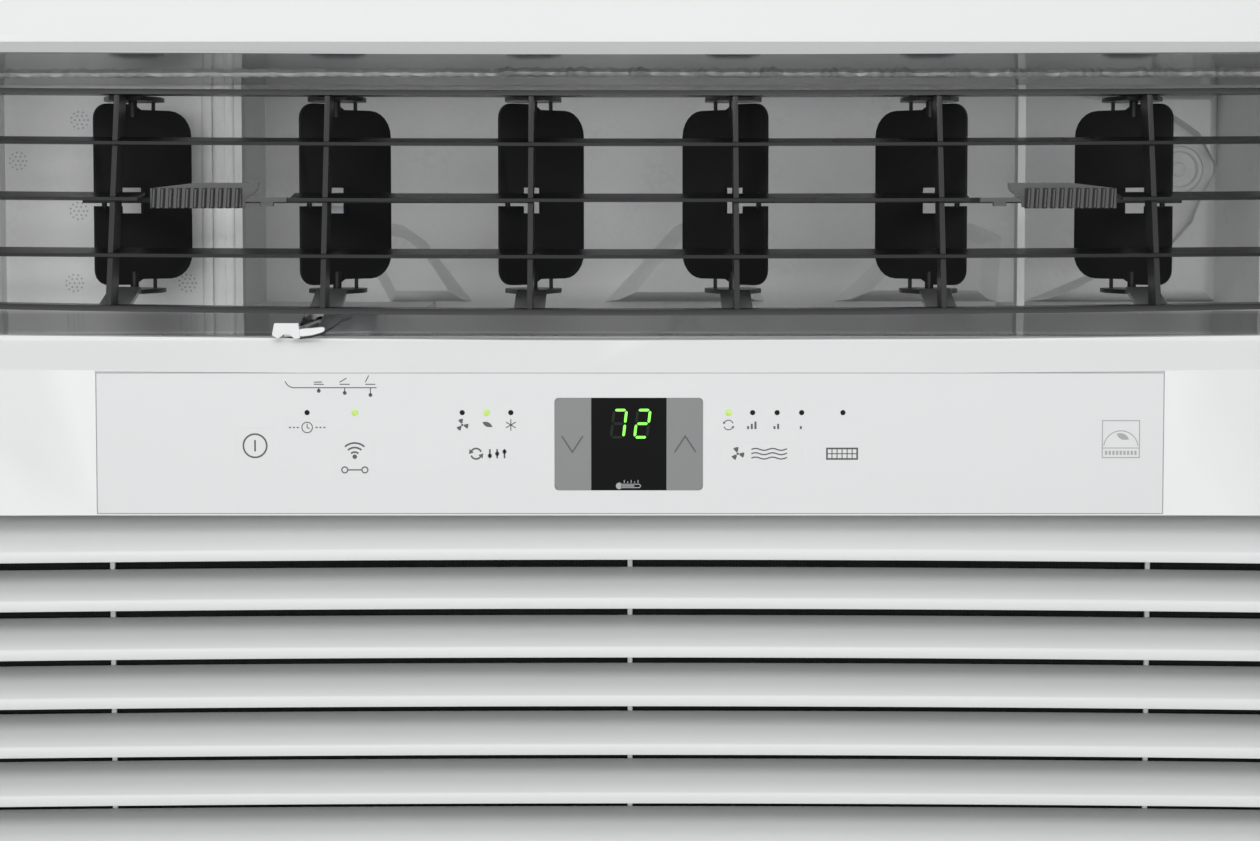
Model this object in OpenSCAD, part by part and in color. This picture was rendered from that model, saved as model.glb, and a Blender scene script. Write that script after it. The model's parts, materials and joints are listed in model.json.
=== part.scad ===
// Window air conditioner: front with tilting louvers, six sweep vanes, control strip and
// tilt-out intake grille, and the whole refrigeration and fan section behind it.
// Origin: middle of the underside. -Y is the room side, +Z is up.

/* [Body] */
// Width across the front bezel
body_w = 656; // [656:1:660]
// Height of the front bezel
body_h = 455; // [453:1:458]
// Depth from the control strip to the rear guard
body_d = 575; // [572:1:585]
// Wall of the front bezel
bezel_wall = 2.5; // [2.2:0.1:2.8]
// Sheet thickness of the cabinet and base
sheet_t = 1.2; // [1:0.1:1.5]

/* [Discharge mouth] */
// Half width of the mouth
mouth_half = 313; // [312.5:0.5:313.5]
// Lower edge of the mouth at its middle
mouth_low = 295.5; // [295:0.1:296]
// Upper edge of the mouth at its middle
mouth_high = 421.8; // [421.5:0.1:422.5]
// Rise of the lower edge towards its ends
mouth_low_rise = 2.6; // [1:0.2:3]
// Rise of the upper edge towards its ends
mouth_high_rise = 1.2; // [0.4:0.2:2]
// Corner radius of the mouth
mouth_corner = 10; // [8:1:10]

/* [Louver cassette] */
// Rake of the louver front, in degrees
rake = 13; // [12:0.5:14]
// Height of the lowest blade
first_blade_z = 306.9; // [306.5:0.1:307.5]
// Pitch of the blades
blade_pitch = 25.1; // [25:0.1:25.3]
// Depth of a blade
blade_depth = 17; // [16:0.5:17.5]
// Thickness of a blade
blade_t = 1.6; // [1.4:0.1:1.8]
// Places of the upright ribs, from the middle outwards
rib_x = [46, 137.9, 232.8];
// Offset of ribs and vanes from the middle of the body
cassette_shift = 1.5; // [0:0.5:2]

/* [Sweep vanes] */
// Length of a vane in front of its pivot
vane_front = 20.5; // [20:0.5:21]
// Length of a vane behind its pivot
vane_rear = 31; // [30:0.5:32]
// Thickness of a vane
vane_t = 1.8; // [1.6:0.1:2]
// Resting angle of the vanes, in degrees outwards
vane_rest = 47; // [44:1:47]
// Places of the vane pivots, from the middle outwards
vane_x = [46.7, 138.4, 233.2];
// Radius at which the link drives a vane
crank_r = 15.5; // [15:0.5:16]

/* [Intake grille] */
// Pitch of the slats
slat_pitch = 21.6; // [21.5:0.05:21.7]
// Number of slats
slat_count = 9; // [9:1:9]
// Height of a slat's front lip
lip_h = 4.8; // [4.4:0.2:5]
// Half width of the door
door_half = 315; // [314.6:0.1:315.2]

/* [Controls] */
// Half width of the overlay
overlay_half = 233; // [230:1:235]
// Thickness of the overlay
overlay_t = 0.8; // [0.6:0.1:1]
// Gap around a key cap
key_gap = 0.12; // [0.1:0.02:0.2]

/* [Fans] */
// Side offset of the fan axis
fan_x = 40; // [38:1:42]
// Height of the fan axis
fan_z = 165; // [163:1:167]
// Radius of the blower wheel
blower_r = 95; // [92:1:97]
// Blades on the blower wheel
blower_blades = 32; // [24:2:36]
// Radius of the condenser fan
cond_fan_r = 128; // [124:1:130]
// Radius of the motor shaft
shaft_r = 6; // [5:0.5:6]

/* [Hidden] */
$fn = 48;

// Planes along the depth
front_y = -body_d / 2;
back_y = body_d / 2;
band_y = front_y + 20;
ledge_y = front_y + 10;
bezel_back = front_y + 72.5;

// Levels
strip_low = 219.4;
strip_high = 282.4;
band_low = mouth_high + 5.2;
door_low = 22.2;
door_high = 218.8;
slat_top = 199.8;
hinge_y = front_y + 3.5;
hinge_x = door_half + 3.8;
hinge_z = 24;
hinge_r = 1.5;
run_gap = 0.05;
clip_x = body_w / 2 - 6;
seam = 0.02;
column_x = mouth_half - 1;

// Louver cassette
tilt_y = -239;
tilt_z = 357;
tilt_r = 4;
blade_slope = 8;
blade_gap = 0.02;
cassette_half = 309;
top_rail_low = 404.3;
top_rail_high = 406.7;
bottom_rail_low = 306.2;
bottom_rail_high = 308.8;
cut_out = [152, 220];

// Vanes and links
pivot_y = -212;
pivot_r = 2;
vane_low = 318;
vane_high = 402;
notch_low = 351.3;
notch_high = 363.2;
slit_low = 354.6;
slit_high = 359.9;
link_front = -232;
link_back = -218;
link_low = 356;
link_high = 358.5;
stop_r = 11;

// Housing of the discharge
housing_half = 312;
housing_back = -178;
ceiling_z = 413.5;

// Vent control
vent_x = -149.5;
vent_z = 298.5;
vent_travel = 14;
flap_y = -55;
flap_z = 322;
flap_turn = atan(vent_travel / (flap_z - vent_z));

// Cord gland
gland_x = 298;
gland_z = 11.5;
gland_r = 4.95;
flange_r = 5.5;

// Fixings and small fittings
sill_hole_x = 303;
sill_hole_r = 2.5;
clamp_screw_x = 230;
clamp_screw_y = -150;
side_screw_y = [-195, 20, 265];
side_screw_z = 18;
drain_at = [200, 200];
drain_r = 8;
capacitor_at = [298, -110];
capacitor_r = 14;
strip_x = 188.9;
strip_half = 1.8;
evap_bend_y = [-205.5, -188.5];
cond_bend_y = [238, 256];
bend_gap = 0.1;

// Fans and coils
evap_y = [-212.5, -179.5];
cond_y = [228, 266];
coil_pitch = 6;
evap_half = 268;
cond_half = 286;
pan_half = body_w / 2 - 7;

// A box between two corners
module box(x, y, z) {
    translate([x[0], y[0], z[0]]) cube([x[1] - x[0], y[1] - y[0], z[1] - z[0]]);
}

// A side profile of [y, z] points, extruded along X
module prism_x(points, x) {
    translate([x[0], 0, 0]) rotate([90, 0, 90]) linear_extrude(x[1] - x[0]) polygon(points);
}

// A front profile of [x, z] points, extruded along Y
module prism_y(points, y) {
    translate([0, y[1], 0]) rotate([90, 0, 0]) linear_extrude(y[1] - y[0]) polygon(points);
}

// Round bars along each axis
module bar_x(x, y, z, r) {
    translate([x[0], y, z]) rotate([0, 90, 0]) cylinder(h = x[1] - x[0], r = r);
}
module bar_y(x, y, z, r) {
    translate([x, y[0], z]) rotate([-90, 0, 0]) cylinder(h = y[1] - y[0], r = r);
}
module bar_z(x, y, z, r) {
    translate([x, y, z[0]]) cylinder(h = z[1] - z[0], r = r);
}

// A straight length of pipe between two points
module pipe(a, b, r) {
    d = b - a;
    turn = [0, acos(d[2] / norm(d)), atan2(d[1], d[0])];
    translate(a) rotate(turn) cylinder(h = norm(d), r = r);
}

// A pipe with a brazed joint at each bend
module pipe_run(points, r) {
    joint_r = r + 0.7;
    for (i = [0 : len(points) - 2]) pipe(points[i], points[i + 1], r);
    for (i = [1 : len(points) - 2]) translate(points[i]) sphere(joint_r);
}

// Points of an arc
function arc(x, y, r, a, b, n = 6) =
    [for (i = [0 : n]) [x + r * cos(a + (b - a) * i / n), y + r * sin(a + (b - a) * i / n)]];

// Heights of the mouth's edges
function low_edge(x) = mouth_low + mouth_low_rise * pow(x / mouth_half, 2);
function high_edge(x) = mouth_high + mouth_high_rise * pow(x / mouth_half, 2);

// Outline of the mouth, grown all round
function mouth(grow) =
    let (end = mouth_half - mouth_corner, r = mouth_corner + grow, steps = 12)
    concat(
        [for (i = [0 : steps]) let (x = -end + 2 * end * i / steps) [x, low_edge(x) - grow]],
        arc(end, low_edge(end) + mouth_corner, r, -90, 0),
        arc(end, high_edge(end) - mouth_corner, r, 0, 90),
        [for (i = [0 : steps]) let (x = end - 2 * end * i / steps) [x, high_edge(x) + grow]],
        arc(-end, high_edge(end) - mouth_corner, r, 90, 180),
        arc(-end, low_edge(end) + mouth_corner, r, 180, 270));

// Side profile of the bezel, moved in by a wall
function bezel_profile(in) = [
    [bezel_back, body_h - in], [band_y + 11, body_h - in], [band_y + 3 + in * 0.7, body_h - 3 - in * 0.7],
    [band_y + 0.5 + in, body_h - 9.5], [band_y + in, band_low], [ledge_y + in, mouth_low],
    [front_y + in, strip_high - in * 0.2], [front_y + in, 8 + in * 0.2],
    [front_y + 4.5 + in * 0.7, 3 + in], [bezel_back, 3 + in]];

// Keys: place, half size and corner radius
power_at = [-163.7, 250];
scheduler_at = [-140.9, 258];
connect_at = [-120.2, 246];
mode_at = [-61.8, 246.5];
down_at = [-25.1, 250.7];
up_at = [24, 250.7];
fan_at = [57.5, 246.5];
filter_at = [92.6, 246.5];
power_half = [8, 8];
scheduler_half = [9, 3];
connect_half = [9, 10];
mode_half = [11, 5];
temp_half = [7.9, 20.3];
fan_half = [18, 5];
filter_half = [9, 5];
key_corner = 2;
key_flange = 1;
key_wall_gap = 0.4;
key_specs = [[power_at, power_half], [scheduler_at, scheduler_half], [connect_at, connect_half],
    [mode_at, mode_half], [down_at, temp_half], [up_at, temp_half], [fan_at, fan_half],
    [filter_at, filter_half]];
window_x = [-17, 16];
window_z = [230.4, 271];

// Indicator lamps above the keys
lamp_z = 264.5;
lamp_r = 1.1;
lamp_x = [-140.9, -120, -73.2, -62.5, -52, 43, 53.5, 64.2, 74.9, 92.9];

// A rounded rectangle about a point, extruded along Y
module pad(at, half, r, y) {
    x = half[0] - r;
    z = half[1] - r;
    prism_y(concat(arc(at[0] + x, at[1] + z, r, 0, 90, 4), arc(at[0] - x, at[1] + z, r, 90, 180, 4),
        arc(at[0] - x, at[1] - z, r, 180, 270, 4), arc(at[0] + x, at[1] - z, r, 270, 360, 4)), y);
}

// Parts of the bezel that stand behind the front skin
module bezel_rims() {
    rim_back = ledge_y + 9.5;
    intersection() {
        prism_x(bezel_profile(0), [-body_w / 2, body_w / 2]);
        prism_y(mouth(bezel_wall), [front_y, rim_back]);
    }
    prism_x([[band_y, band_low], [band_y, band_low + 3], [band_y + 5.5, mouth_high + 4.4],
        [band_y + 5.5, mouth_high]], [-mouth_half - bezel_wall, mouth_half + bezel_wall]);
    box([-door_half - 1, door_half + 1], [front_y + 1, front_y + 18], [strip_low, strip_low + bezel_wall]);
    for (s = [-1, 1]) let (x = s * hinge_x)
        box([x - 2.5, x + 2.5], [front_y + 0.5, front_y + 7.5], [hinge_z - 4, hinge_z + 4]);
    box([-body_w / 2 + 1, body_w / 2 - 1], [front_y + 1, front_y + 12], [17.2, 19.7]);
    for (s = [-1, 1]) for (z = [60, 160, 260, 400])
        box([s * clip_x - 4, s * clip_x + 4], [bezel_back - 12, bezel_back], [z - 4, z + 4]);
}

module front_bezel() {
    recess = overlay_t;
    seam_depth = [front_y - 1, bezel_back + 1];
    color("white") difference() {
        union() {
            difference() {
                prism_x(bezel_profile(0), [-body_w / 2, body_w / 2]);
                prism_x(concat([[bezel_back + 1, body_h - bezel_wall]], bezel_profile(bezel_wall),
                    [[bezel_back + 1, 3 + bezel_wall]]), [-body_w / 2 + bezel_wall, body_w / 2 - bezel_wall]);
            }
            bezel_rims();
        }
        prism_y(mouth(0), [front_y - 1, band_y + 14]);
        prism_x([[band_y - 3, band_low + 2.84], [band_y, band_low], [band_y + 5.7, mouth_high - 0.2],
            [band_y + 5.7, mouth_high - 4], [band_y - 3, mouth_high - 4]], [-mouth_half, mouth_half]);
        box([-door_half - 0.6, door_half + 0.6], [front_y - 1, front_y + 11], [19.7, strip_low]);
        box([-overlay_half - 0.1, overlay_half + 0.1], [front_y - 1, front_y + recess], [220, 282.1]);
        for (k = key_specs) pad(k[0], k[1] + [1, 1] * (key_flange + key_wall_gap), key_corner + 1,
            [front_y - 1, front_y + 4]);
        box(window_x, [front_y - 1, front_y + 4], window_z);
        for (x = lamp_x) bar_y(x, [front_y - 1, front_y + 4], lamp_z, lamp_r + 0.2);
        for (s = [-1, 1]) bar_x([s * hinge_x - 6, s * hinge_x + 4], hinge_y, hinge_z, hinge_r + run_gap);
        bar_y(gland_x, [front_y - 1, front_y + 4], gland_z, gland_r + run_gap);
        bar_y(gland_x, [front_y + bezel_wall, front_y + 8], gland_z, flange_r + run_gap);
        // hairline seams between the columns, the middle lengths and the sides of the door opening
        for (s = [-1, 1]) let (x = s * column_x, outer = s * (column_x + 20)) {
            box([x - seam / 2, x + seam / 2], seam_depth, [0, body_h + 1]);
            box([outer - 20, outer + 20], seam_depth, [strip_low - 1, strip_low - 1 + seam]);
        }
    }
}

module control_overlay() {
    color("gainsboro") difference() {
        box([-overlay_half, overlay_half], [front_y, front_y + overlay_t - 0.02], [220.1, 282]);
        for (k = key_specs) pad(k[0], k[1], key_corner, [front_y - 1, front_y + 2]);
        box([window_x[0] - 0.1, window_x[1] + 0.1], [front_y - 1, front_y + 2], window_z);
        for (x = lamp_x) bar_y(x, [front_y - 1, front_y + 2], lamp_z, lamp_r + 0.05);
    }
}

// A key: flush cap, flange behind the overlay and a stem that meets its switch
module key(spec) {
    at = spec[0];
    cap = spec[1] - [1, 1] * key_gap;
    flange_y = front_y + overlay_t + 0.05;
    pad(at, cap, key_corner - key_gap, [front_y, flange_y + 0.5]);
    pad(at, spec[1] + [1, 1] * key_flange, key_corner + key_flange, [flange_y, flange_y + 1]);
    bar_y(at[0], [flange_y + 0.9, front_y + 7], at[1], 2);
}
module power_key() { color("gainsboro") key(key_specs[0]); }
module scheduler_key() { color("gainsboro") key(key_specs[1]); }
module connect_key() { color("gainsboro") key(key_specs[2]); }
module mode_key() { color("gainsboro") key(key_specs[3]); }
module fan_speed_key() { color("gainsboro") key(key_specs[6]); }
module filter_key() { color("gainsboro") key(key_specs[7]); }

// The temperature keys meet the display with a narrower flange
module temp_key(spec, side) {
    color("darkgray") difference() {
        key(spec);
        box(side > 0 ? [window_x[0] - 0.15, 0] : [0, window_x[1] + 0.15], [front_y - 1, front_y + 5],
            [200, 300]);
    }
}
module temp_down_key() { temp_key(key_specs[4], 1); }
module temp_up_key() { temp_key(key_specs[5], -1); }

module display_window() {
    color("black") box([window_x[0] + 0.05, window_x[1] - 0.05], [front_y + 0.1, front_y + 2],
        [window_z[0] + 0.05, window_z[1] - 0.05]);
}
module display_module() {
    color("dimgray") box([-14, 13], [front_y + 2.3, front_y + 11], [240, 268]);
}
module indicator_lenses() {
    color("darkseagreen") for (x = lamp_x) {
        bar_y(x, [front_y + 0.1, front_y + 7.5], lamp_z, lamp_r);
    }
}

// Circuit board with a switch behind each key
module control_board() {
    board_y = front_y + 11;
    color("darkgreen") {
        box([-180, 112], [board_y, board_y + 1.6], [228, 276]);
        for (k = key_specs)
            box([k[0][0] - 3, k[0][0] + 3], [board_y - 3, board_y - 0.02], [k[0][1] - 3, k[0][1] + 3]);
        box([-105, -85], [board_y - 6, board_y - 0.02], [236, 256]);
    }
}
module board_carrier() {
    carrier_y = front_y + 13;
    color("lightgray") difference() {
        union() {
            box([-186, 118], [carrier_y, carrier_y + 2], [225, 279]);
            for (x = [-184, 116]) box([x - 2, x + 2], [front_y + 3, carrier_y + 1], [240, 264]);
        }
        box([-150, -60], [carrier_y - 1, carrier_y + 3], [234, 270]);
        box([-30, 90], [carrier_y - 1, carrier_y + 3], [234, 270]);
    }
}

// Tilt-out intake grille: slats, ribs, side frames and rails
module slat(z, rise) {
    depth = 18.6;
    wall = 1.8;
    prism_x([[front_y, z], [front_y, z + lip_h], [front_y + depth, z + lip_h + rise],
        [front_y + depth + 0.8, z + lip_h + rise - 1.6], [front_y + wall, z + lip_h - 1],
        [front_y + wall, z]], [-door_half + 4.02, door_half - 4.02]);
}
module intake_grille() {
    rear = [front_y + 19.42, front_y + 21.2];
    rib_half = 1.1;
    grille_rib_x = 231;
    slat_rise = 10.9;
    first_rise = 13.6;
    inner = door_half - 4.02;
    color("white") {
        slat(slat_top, first_rise);
        for (k = [1 : slat_count - 1]) slat(slat_top - k * slat_pitch, slat_rise);
        for (x = [-grille_rib_x, 0, grille_rib_x])
            box([x - rib_half, x + rib_half], rear, [door_low, door_high - 4.52]);
        for (s = [-1, 1]) prism_x([[front_y + 0.5, door_low], [front_y + 0.5, door_high],
            [front_y + 13, door_high], [front_y + 25, door_high - 1.4], [front_y + 25, door_low]],
            [s * (door_half - 2) - 2, s * (door_half - 2) + 2]);
        for (s = [-1, 1]) let (x = s * (hinge_x - 1.6)) bar_x([x - 2.6, x + 2.6], hinge_y, hinge_z, hinge_r);
        box([-inner, inner], rear, [door_high - 4.5, door_high - 1.2]);
        box([-inner, inner], [front_y + 0.2, front_y + 7], [door_low, door_low + 2.4]);
    }
}

// Washable filter in its frame, carried on the back of the grille
module air_filter() {
    frame_y = [front_y + 21.5, front_y + 24.5];
    x0 = door_half - 4.6;
    z0 = 26;
    z1 = 213;
    cells = 8;
    cell = (2 * x0 - 4) / cells;
    color("dimgray") union() {
        difference() {
            box([-x0, x0], frame_y, [z0, z1]);
            for (i = [0 : cells - 1]) for (j = [0, 1, 2]) let (x = -x0 + 4 + i * cell, z = z0 + 4 + j * 61)
                box([x, x + cell - 4], [frame_y[0] - 1, frame_y[1] + 1], [z, z + 57]);
        }
        box([-x0 + 1, x0 - 1], [frame_y[0] + 1.2, frame_y[0] + 1.8], [z0 + 1, z1 - 1]);
        box([-20, 20], [frame_y[0] + 1, frame_y[1] + 0.8], [z1 - 4, z1 + 3]);
    }
}

// Dark recess that the louver cassette tilts in
module discharge_housing() {
    roof_y = band_y + 6;
    sill_y = -267.5;
    sill_z = 294.6;
    inside = [-housing_half + 0.02, housing_half - 0.02];
    color("darkslategray") {
        // ceiling, sloping down to the back
        prism_x([[roof_y, mouth_high + 0.3], [housing_back, ceiling_z - 0.6],
            [housing_back, ceiling_z + 2], [roof_y, mouth_high + 2.6]], inside);
        difference() {
            prism_x([[sill_y, sill_z], [sill_y, 297], [-225, 297], [-200, 303.5], [housing_back, 304.5],
                [housing_back, 302.3], [-199.6, 301.3], [-224.7, sill_z]], inside);
            box([vent_x - 4.5, vent_x + 4.5], [-255, housing_back + 1], [290, 310]);
        }
        // end plates with the bearings of the tilt pins
        for (s = [-1, 1]) let (plate = s * (housing_half + 1.25), boss = s * (housing_half + 3.5),
            bore = s * (housing_half + 2.5)) difference() {
            union() {
                prism_x([[sill_y, sill_z], [sill_y, 300], [-261.4, 420], [-250, 420],
                    [housing_back, ceiling_z + 2], [housing_back, sill_z]], [plate - 1.25, plate + 1.25]);
                bar_x([boss - 1.5, boss + 1.5], tilt_y, tilt_z, 9);
            }
            bar_x([bore - 4, bore + 4], tilt_y, tilt_z, tilt_r + run_gap);
        }
    }
}

// Front line of the raked cassette
function rake_y(z) = -271 + (z - first_blade_z) * tan(rake);

// One blade across the cassette, sloping down to the front
module blade(z, x) {
    y = rake_y(z);
    drop = blade_depth * tan(blade_slope);
    t = blade_t / 2;
    prism_x([[y, z - t], [y + blade_depth, z + drop - t], [y + blade_depth, z + drop + t], [y, z + t]], x);
}

// Lug that carries a vane pivot, with the slot for its stop pin
module lug(x, z, t) {
    stop_slot = 1.4;
    color("dimgray") difference() {
        translate([x, 0, z]) linear_extrude(t) polygon([[-7, -229.9], [7, -229.9], [13, -214],
            [13, -203], [7, -197], [-7, -197], [-13, -203], [-13, -214]]);
        bar_z(x, pivot_y, [z - 1, z + t + 1], pivot_r + run_gap);
        translate([x, pivot_y, z - 1]) rotate([0, 0, 90 - 53]) rotate_extrude(angle = 106)
            translate([stop_r - stop_slot, 0]) square([2 * stop_slot, t + 2]);
    }
}

module louver_cassette() {
    inner = cassette_half - 2.02;
    rib_in = 1.5;
    rib_half = 1.2;
    rib_depth = 14.5;
    top_y = rake_y(top_rail_high);
    low_y = rake_y(bottom_rail_low);
    levels = [for (i = [1 : 3]) first_blade_z + i * blade_pitch];
    color("dimgray") {
        // rails
        box([-inner, inner], [top_y, -230], [top_rail_low, top_rail_high]);
        box([-inner, inner], [low_y, low_y + blade_depth], [bottom_rail_low, bottom_rail_high]);
        // blades, the middle one cut out round the two thumb tabs
        blade(levels[0], [-inner, inner]);
        blade(levels[2], [-inner, inner]);
        blade(levels[1], [-cut_out[0], cut_out[0]]);
        for (s = [-1, 1]) blade(levels[1], s > 0 ? [cut_out[1], inner] : [-inner, -cut_out[1]]);
        // upright ribs, in lengths between the blades
        for (s = [-1, 1]) for (r = rib_x) for (i = [0 : 3]) {
            x = s * r + cassette_shift;
            z0 = i == 0 ? bottom_rail_high + blade_gap : levels[i - 1] + blade_t / 2 + blade_gap;
            z1 = i == 3 ? top_rail_low - blade_gap : levels[i] - blade_t / 2 - blade_gap;
            lift0 = i == 0 ? 0 : rib_depth * tan(blade_slope) + rib_in * tan(blade_slope);
            lift1 = i == 3 ? 0 : rib_in * tan(blade_slope);
            rise0 = i == 0 ? 0 : rib_in * tan(blade_slope);
            rise1 = i == 3 ? 0 : (rib_depth + rib_in) * tan(blade_slope);
            y0 = rake_y(z0) + rib_in;
            y1 = rake_y(z1) + rib_in;
            prism_x([[y0, z0 + rise0 + 0.02], [y0 + rib_depth, z0 + lift0 + 0.02],
                [y1 + rib_depth, z1 + rise1 - 0.02], [y1, z1 + lift1 - 0.02]], [x - rib_half, x + rib_half]);
        }
        // end plates and tilt pins
        for (s = [-1, 1]) {
            prism_x([[low_y, bottom_rail_low], [top_y, top_rail_high], [-228, top_rail_high],
                [-228, 330], [low_y + blade_depth, bottom_rail_low]],
                [s * (cassette_half - 1) - 1, s * (cassette_half - 1) + 1]);
            bar_x([s * (cassette_half + 2.6) - 2.7, s * (cassette_half + 2.6) + 2.7], tilt_y, tilt_z, tilt_r);
        }
    }
    // lugs at the top and bottom of each vane
    for (s = [-1, 1]) for (v = vane_x) {
        x = s * v + cassette_shift;
        lug(x, 403.2, 2);
        lug(x, 314.2, 2);
        color("dimgray") prism_x([[-254.1, 306.6], [-254.1, 308.8], [-231.5, 316.2], [-229.95, 316.2],
            [-229.95, 314.2], [-231, 314.2]], [x - 7, x + 7]);
    }
}

// Link bar with a slot for each vane's crank pin, and the arm to its thumb tab
module link(s) {
    slot_half = 2.2;
    reach = crank_r * sin(vane_rest);
    color("black") difference() {
        union() {
            box(s > 0 ? [48, 253] : [-251, -46], [link_front, link_back], [link_low, link_high]);
            box(s > 0 ? [191, 203] : [-200, -188], [-260, link_front + 1], [link_low, link_high]);
        }
        for (v = vane_x) {
            x = s * (v + reach) + cassette_shift;
            box([x - slot_half, x + slot_half], [-230.2, -220], [link_low - 1, link_high + 1]);
        }
    }
}
module left_link() { link(-1); }
module right_link() { link(1); }

// Ribbed thumb tab with a slanted end and a thin tail
module thumb_tab(s) {
    x0 = 174.2;
    x1 = 214.8;
    ridges = 11;
    pitch = (x1 - x0) / ridges;
    color("gray") mirror([s > 0 ? 0 : 1, 0, 0]) union() {
        box([x0, x1], [-264.4, -260.02], [353.4, 362.6]);
        for (i = [0 : ridges - 1]) let (x = x0 + i * pitch)
            box([x + 0.5, x + pitch - 1.1], [-266, -264], [353.6, 362.4]);
        prism_y([[x0 - 5.5, 362.6], [x0 + 1, 362.6], [x0 + 1, 353.4], [x0 - 1, 353.4]], [-263.4, -260.02]);
        box([x0 - 20, x0 + 1], [-262.4, -260.02], [356.2, 358.4]);
        box([x0 - 14, x0 - 8], [-262, -260.1], [354.4, 356.4]);
    }
}
module left_tab() { translate([cassette_shift, 0, 0]) thumb_tab(-1); }
module right_tab() { translate([cassette_shift, 0, 0]) thumb_tab(1); }

// Sweep vane: rounded plate, pivots, stop pins, and a notch with the crank pin in it
module vane(x, turn) {
    front_r = 7;
    rear_r = 12;
    step_z = 2.5;
    f = -vane_front + front_r;
    r = vane_rear - rear_r;
    outline = concat(arc(f, vane_low + front_r, front_r, 180, 270), [[0, vane_low], [4, vane_low + step_z]],
        arc(r, vane_low + step_z + rear_r, rear_r, 270, 360),
        arc(r, vane_high - step_z - rear_r, rear_r, 0, 90), [[4, vane_high - step_z], [0, vane_high]],
        arc(f, vane_high - front_r, front_r, 90, 180));
    color("black") translate([x, pivot_y, 0]) rotate([0, 0, turn]) union() {
        difference() {
            prism_x(outline, [-vane_t / 2, vane_t / 2]);
            box([-2, 2], [-vane_front - 1, -6], [slit_low, slit_high]);
            box([-2, 2], [-6.4, 4.4], [notch_low, notch_high]);
        }
        bar_z(0, -crank_r, [slit_low - 1, slit_high + 1], 1.2);
        bar_z(0, 0, [314.2, vane_low + 6], pivot_r);
        bar_z(0, 0, [vane_high - 6, 405.2], pivot_r);
        bar_z(0, stop_r, [314.6, vane_low + 7], 0.88);
        bar_z(0, stop_r, [vane_high - 7, 404.8], 0.88);
    }
}
module vane_left_outer() { vane(-vane_x[2] + cassette_shift, -vane_rest); }
module vane_left_middle() { vane(-vane_x[1] + cassette_shift, -vane_rest); }
module vane_left_inner() { vane(-vane_x[0] + cassette_shift, -vane_rest); }
module vane_right_inner() { vane(vane_x[0] + cassette_shift, vane_rest); }
module vane_right_middle() { vane(vane_x[1] + cassette_shift, vane_rest); }
module vane_right_outer() { vane(vane_x[2] + cassette_shift, vane_rest); }

// Pull lever for the fresh-air vent, its rod and the flap in the bulkhead
module vent_lever() {
    color("white") {
        prism_y([[-157, 298], [-156, 303.2], [-145.4, 303.2], [-144.6, 296.8], [-147, 296.4], [-149.4, 298.2],
            [-152, 298.2], [-154.4, 296.4]], [-281, -278.6]);
        box([vent_x - 2.5, vent_x + 2.5], [-278.7, -246], [297.3, 299.7]);
    }
}
module vent_rod() {
    rod_r = 1.5;
    color("silver") union() {
        bar_y(vent_x, [-246, flap_y + vent_travel + 4], vent_z, rod_r);
        bar_x([vent_x - 1, vent_x + 6], flap_y + vent_travel, vent_z, 1.2);
    }
}
module vent_flap() {
    plate_y = flap_y - 4.2;
    arm_x = vent_x + 3.4;
    color("lightgray") {
        box([vent_x - 20, vent_x + 20], [plate_y, plate_y + 1.5], [flap_z + 1, flap_z + 36]);
        box([vent_x - 20, vent_x + 20], [plate_y, flap_y + 1], [flap_z - 0.5, flap_z + 2]);
        bar_x([vent_x - 24, vent_x + 24], flap_y, flap_z, 2);
        translate([arm_x, flap_y, flap_z]) rotate([flap_turn, 0, 0]) difference() {
            box([0, 2], [-4, 4], [-33, 1]);
            box([-1, 3], [-2.1, 2.1], [-30, -21]);
        }
    }
}

// Moulded foam duct: blower scroll below, discharge plenum above
scroll_r = 112;
plenum_low = 305;
plenum_high = ceiling_z;
foam_half = housing_half - 1;
module duct_foam() {
    foam_back = -64;
    color("lightgray") difference() {
        union() {
            box([-250, 245], [-172, foam_back], [28, 300]);
            box([-foam_half, foam_half], [-176, foam_back], [299.9, 436]);
        }
        // scroll and throat
        bar_y(fan_x, [-166, -86], fan_z, scroll_r);
        prism_y([[fan_x - scroll_r + 2, fan_z], [fan_x - scroll_r - 30, 306], [fan_x + scroll_r + 40, 306],
            [fan_x + scroll_r - 2, fan_z]], [-166, -86]);
        // inlet and shaft holes
        bar_y(fan_x, [-173, -165], fan_z, 88);
        bar_y(fan_x, [-87, foam_back + 1], fan_z, 18);
        // plenum, deep behind the middle and right, shallow at the left
        box([-190, foam_half - 7], [-177, -86], [plenum_low, plenum_high]);
        box([7 - foam_half, -189], [-177, -166], [plenum_low, plenum_high]);
        // way to the vent flap and its rod
        box([vent_x - 17, vent_x + 17], [-87, foam_back + 1], [325, 355]);
        bar_y(vent_x, [-177, foam_back + 1], vent_z, 3);
    }
}
module duct_strips() {
    color("whitesmoke") for (s = [-1, 1]) {
        box([s * strip_x - strip_half, s * strip_x + strip_half], [-176, -166.4],
            [plenum_low + 0.2, plenum_high - 0.2]);
    }
}
module inlet_ring() {
    color("gray") translate([fan_x, -178, fan_z]) rotate([-90, 0, 0]) rotate_extrude()
        polygon([[78, 9], [79, 4], [82, 1.5], [87, 0], [104, 0], [104, 2], [88, 2], [83, 3.5], [80.5, 6],
            [80, 9]]);
}

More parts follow.
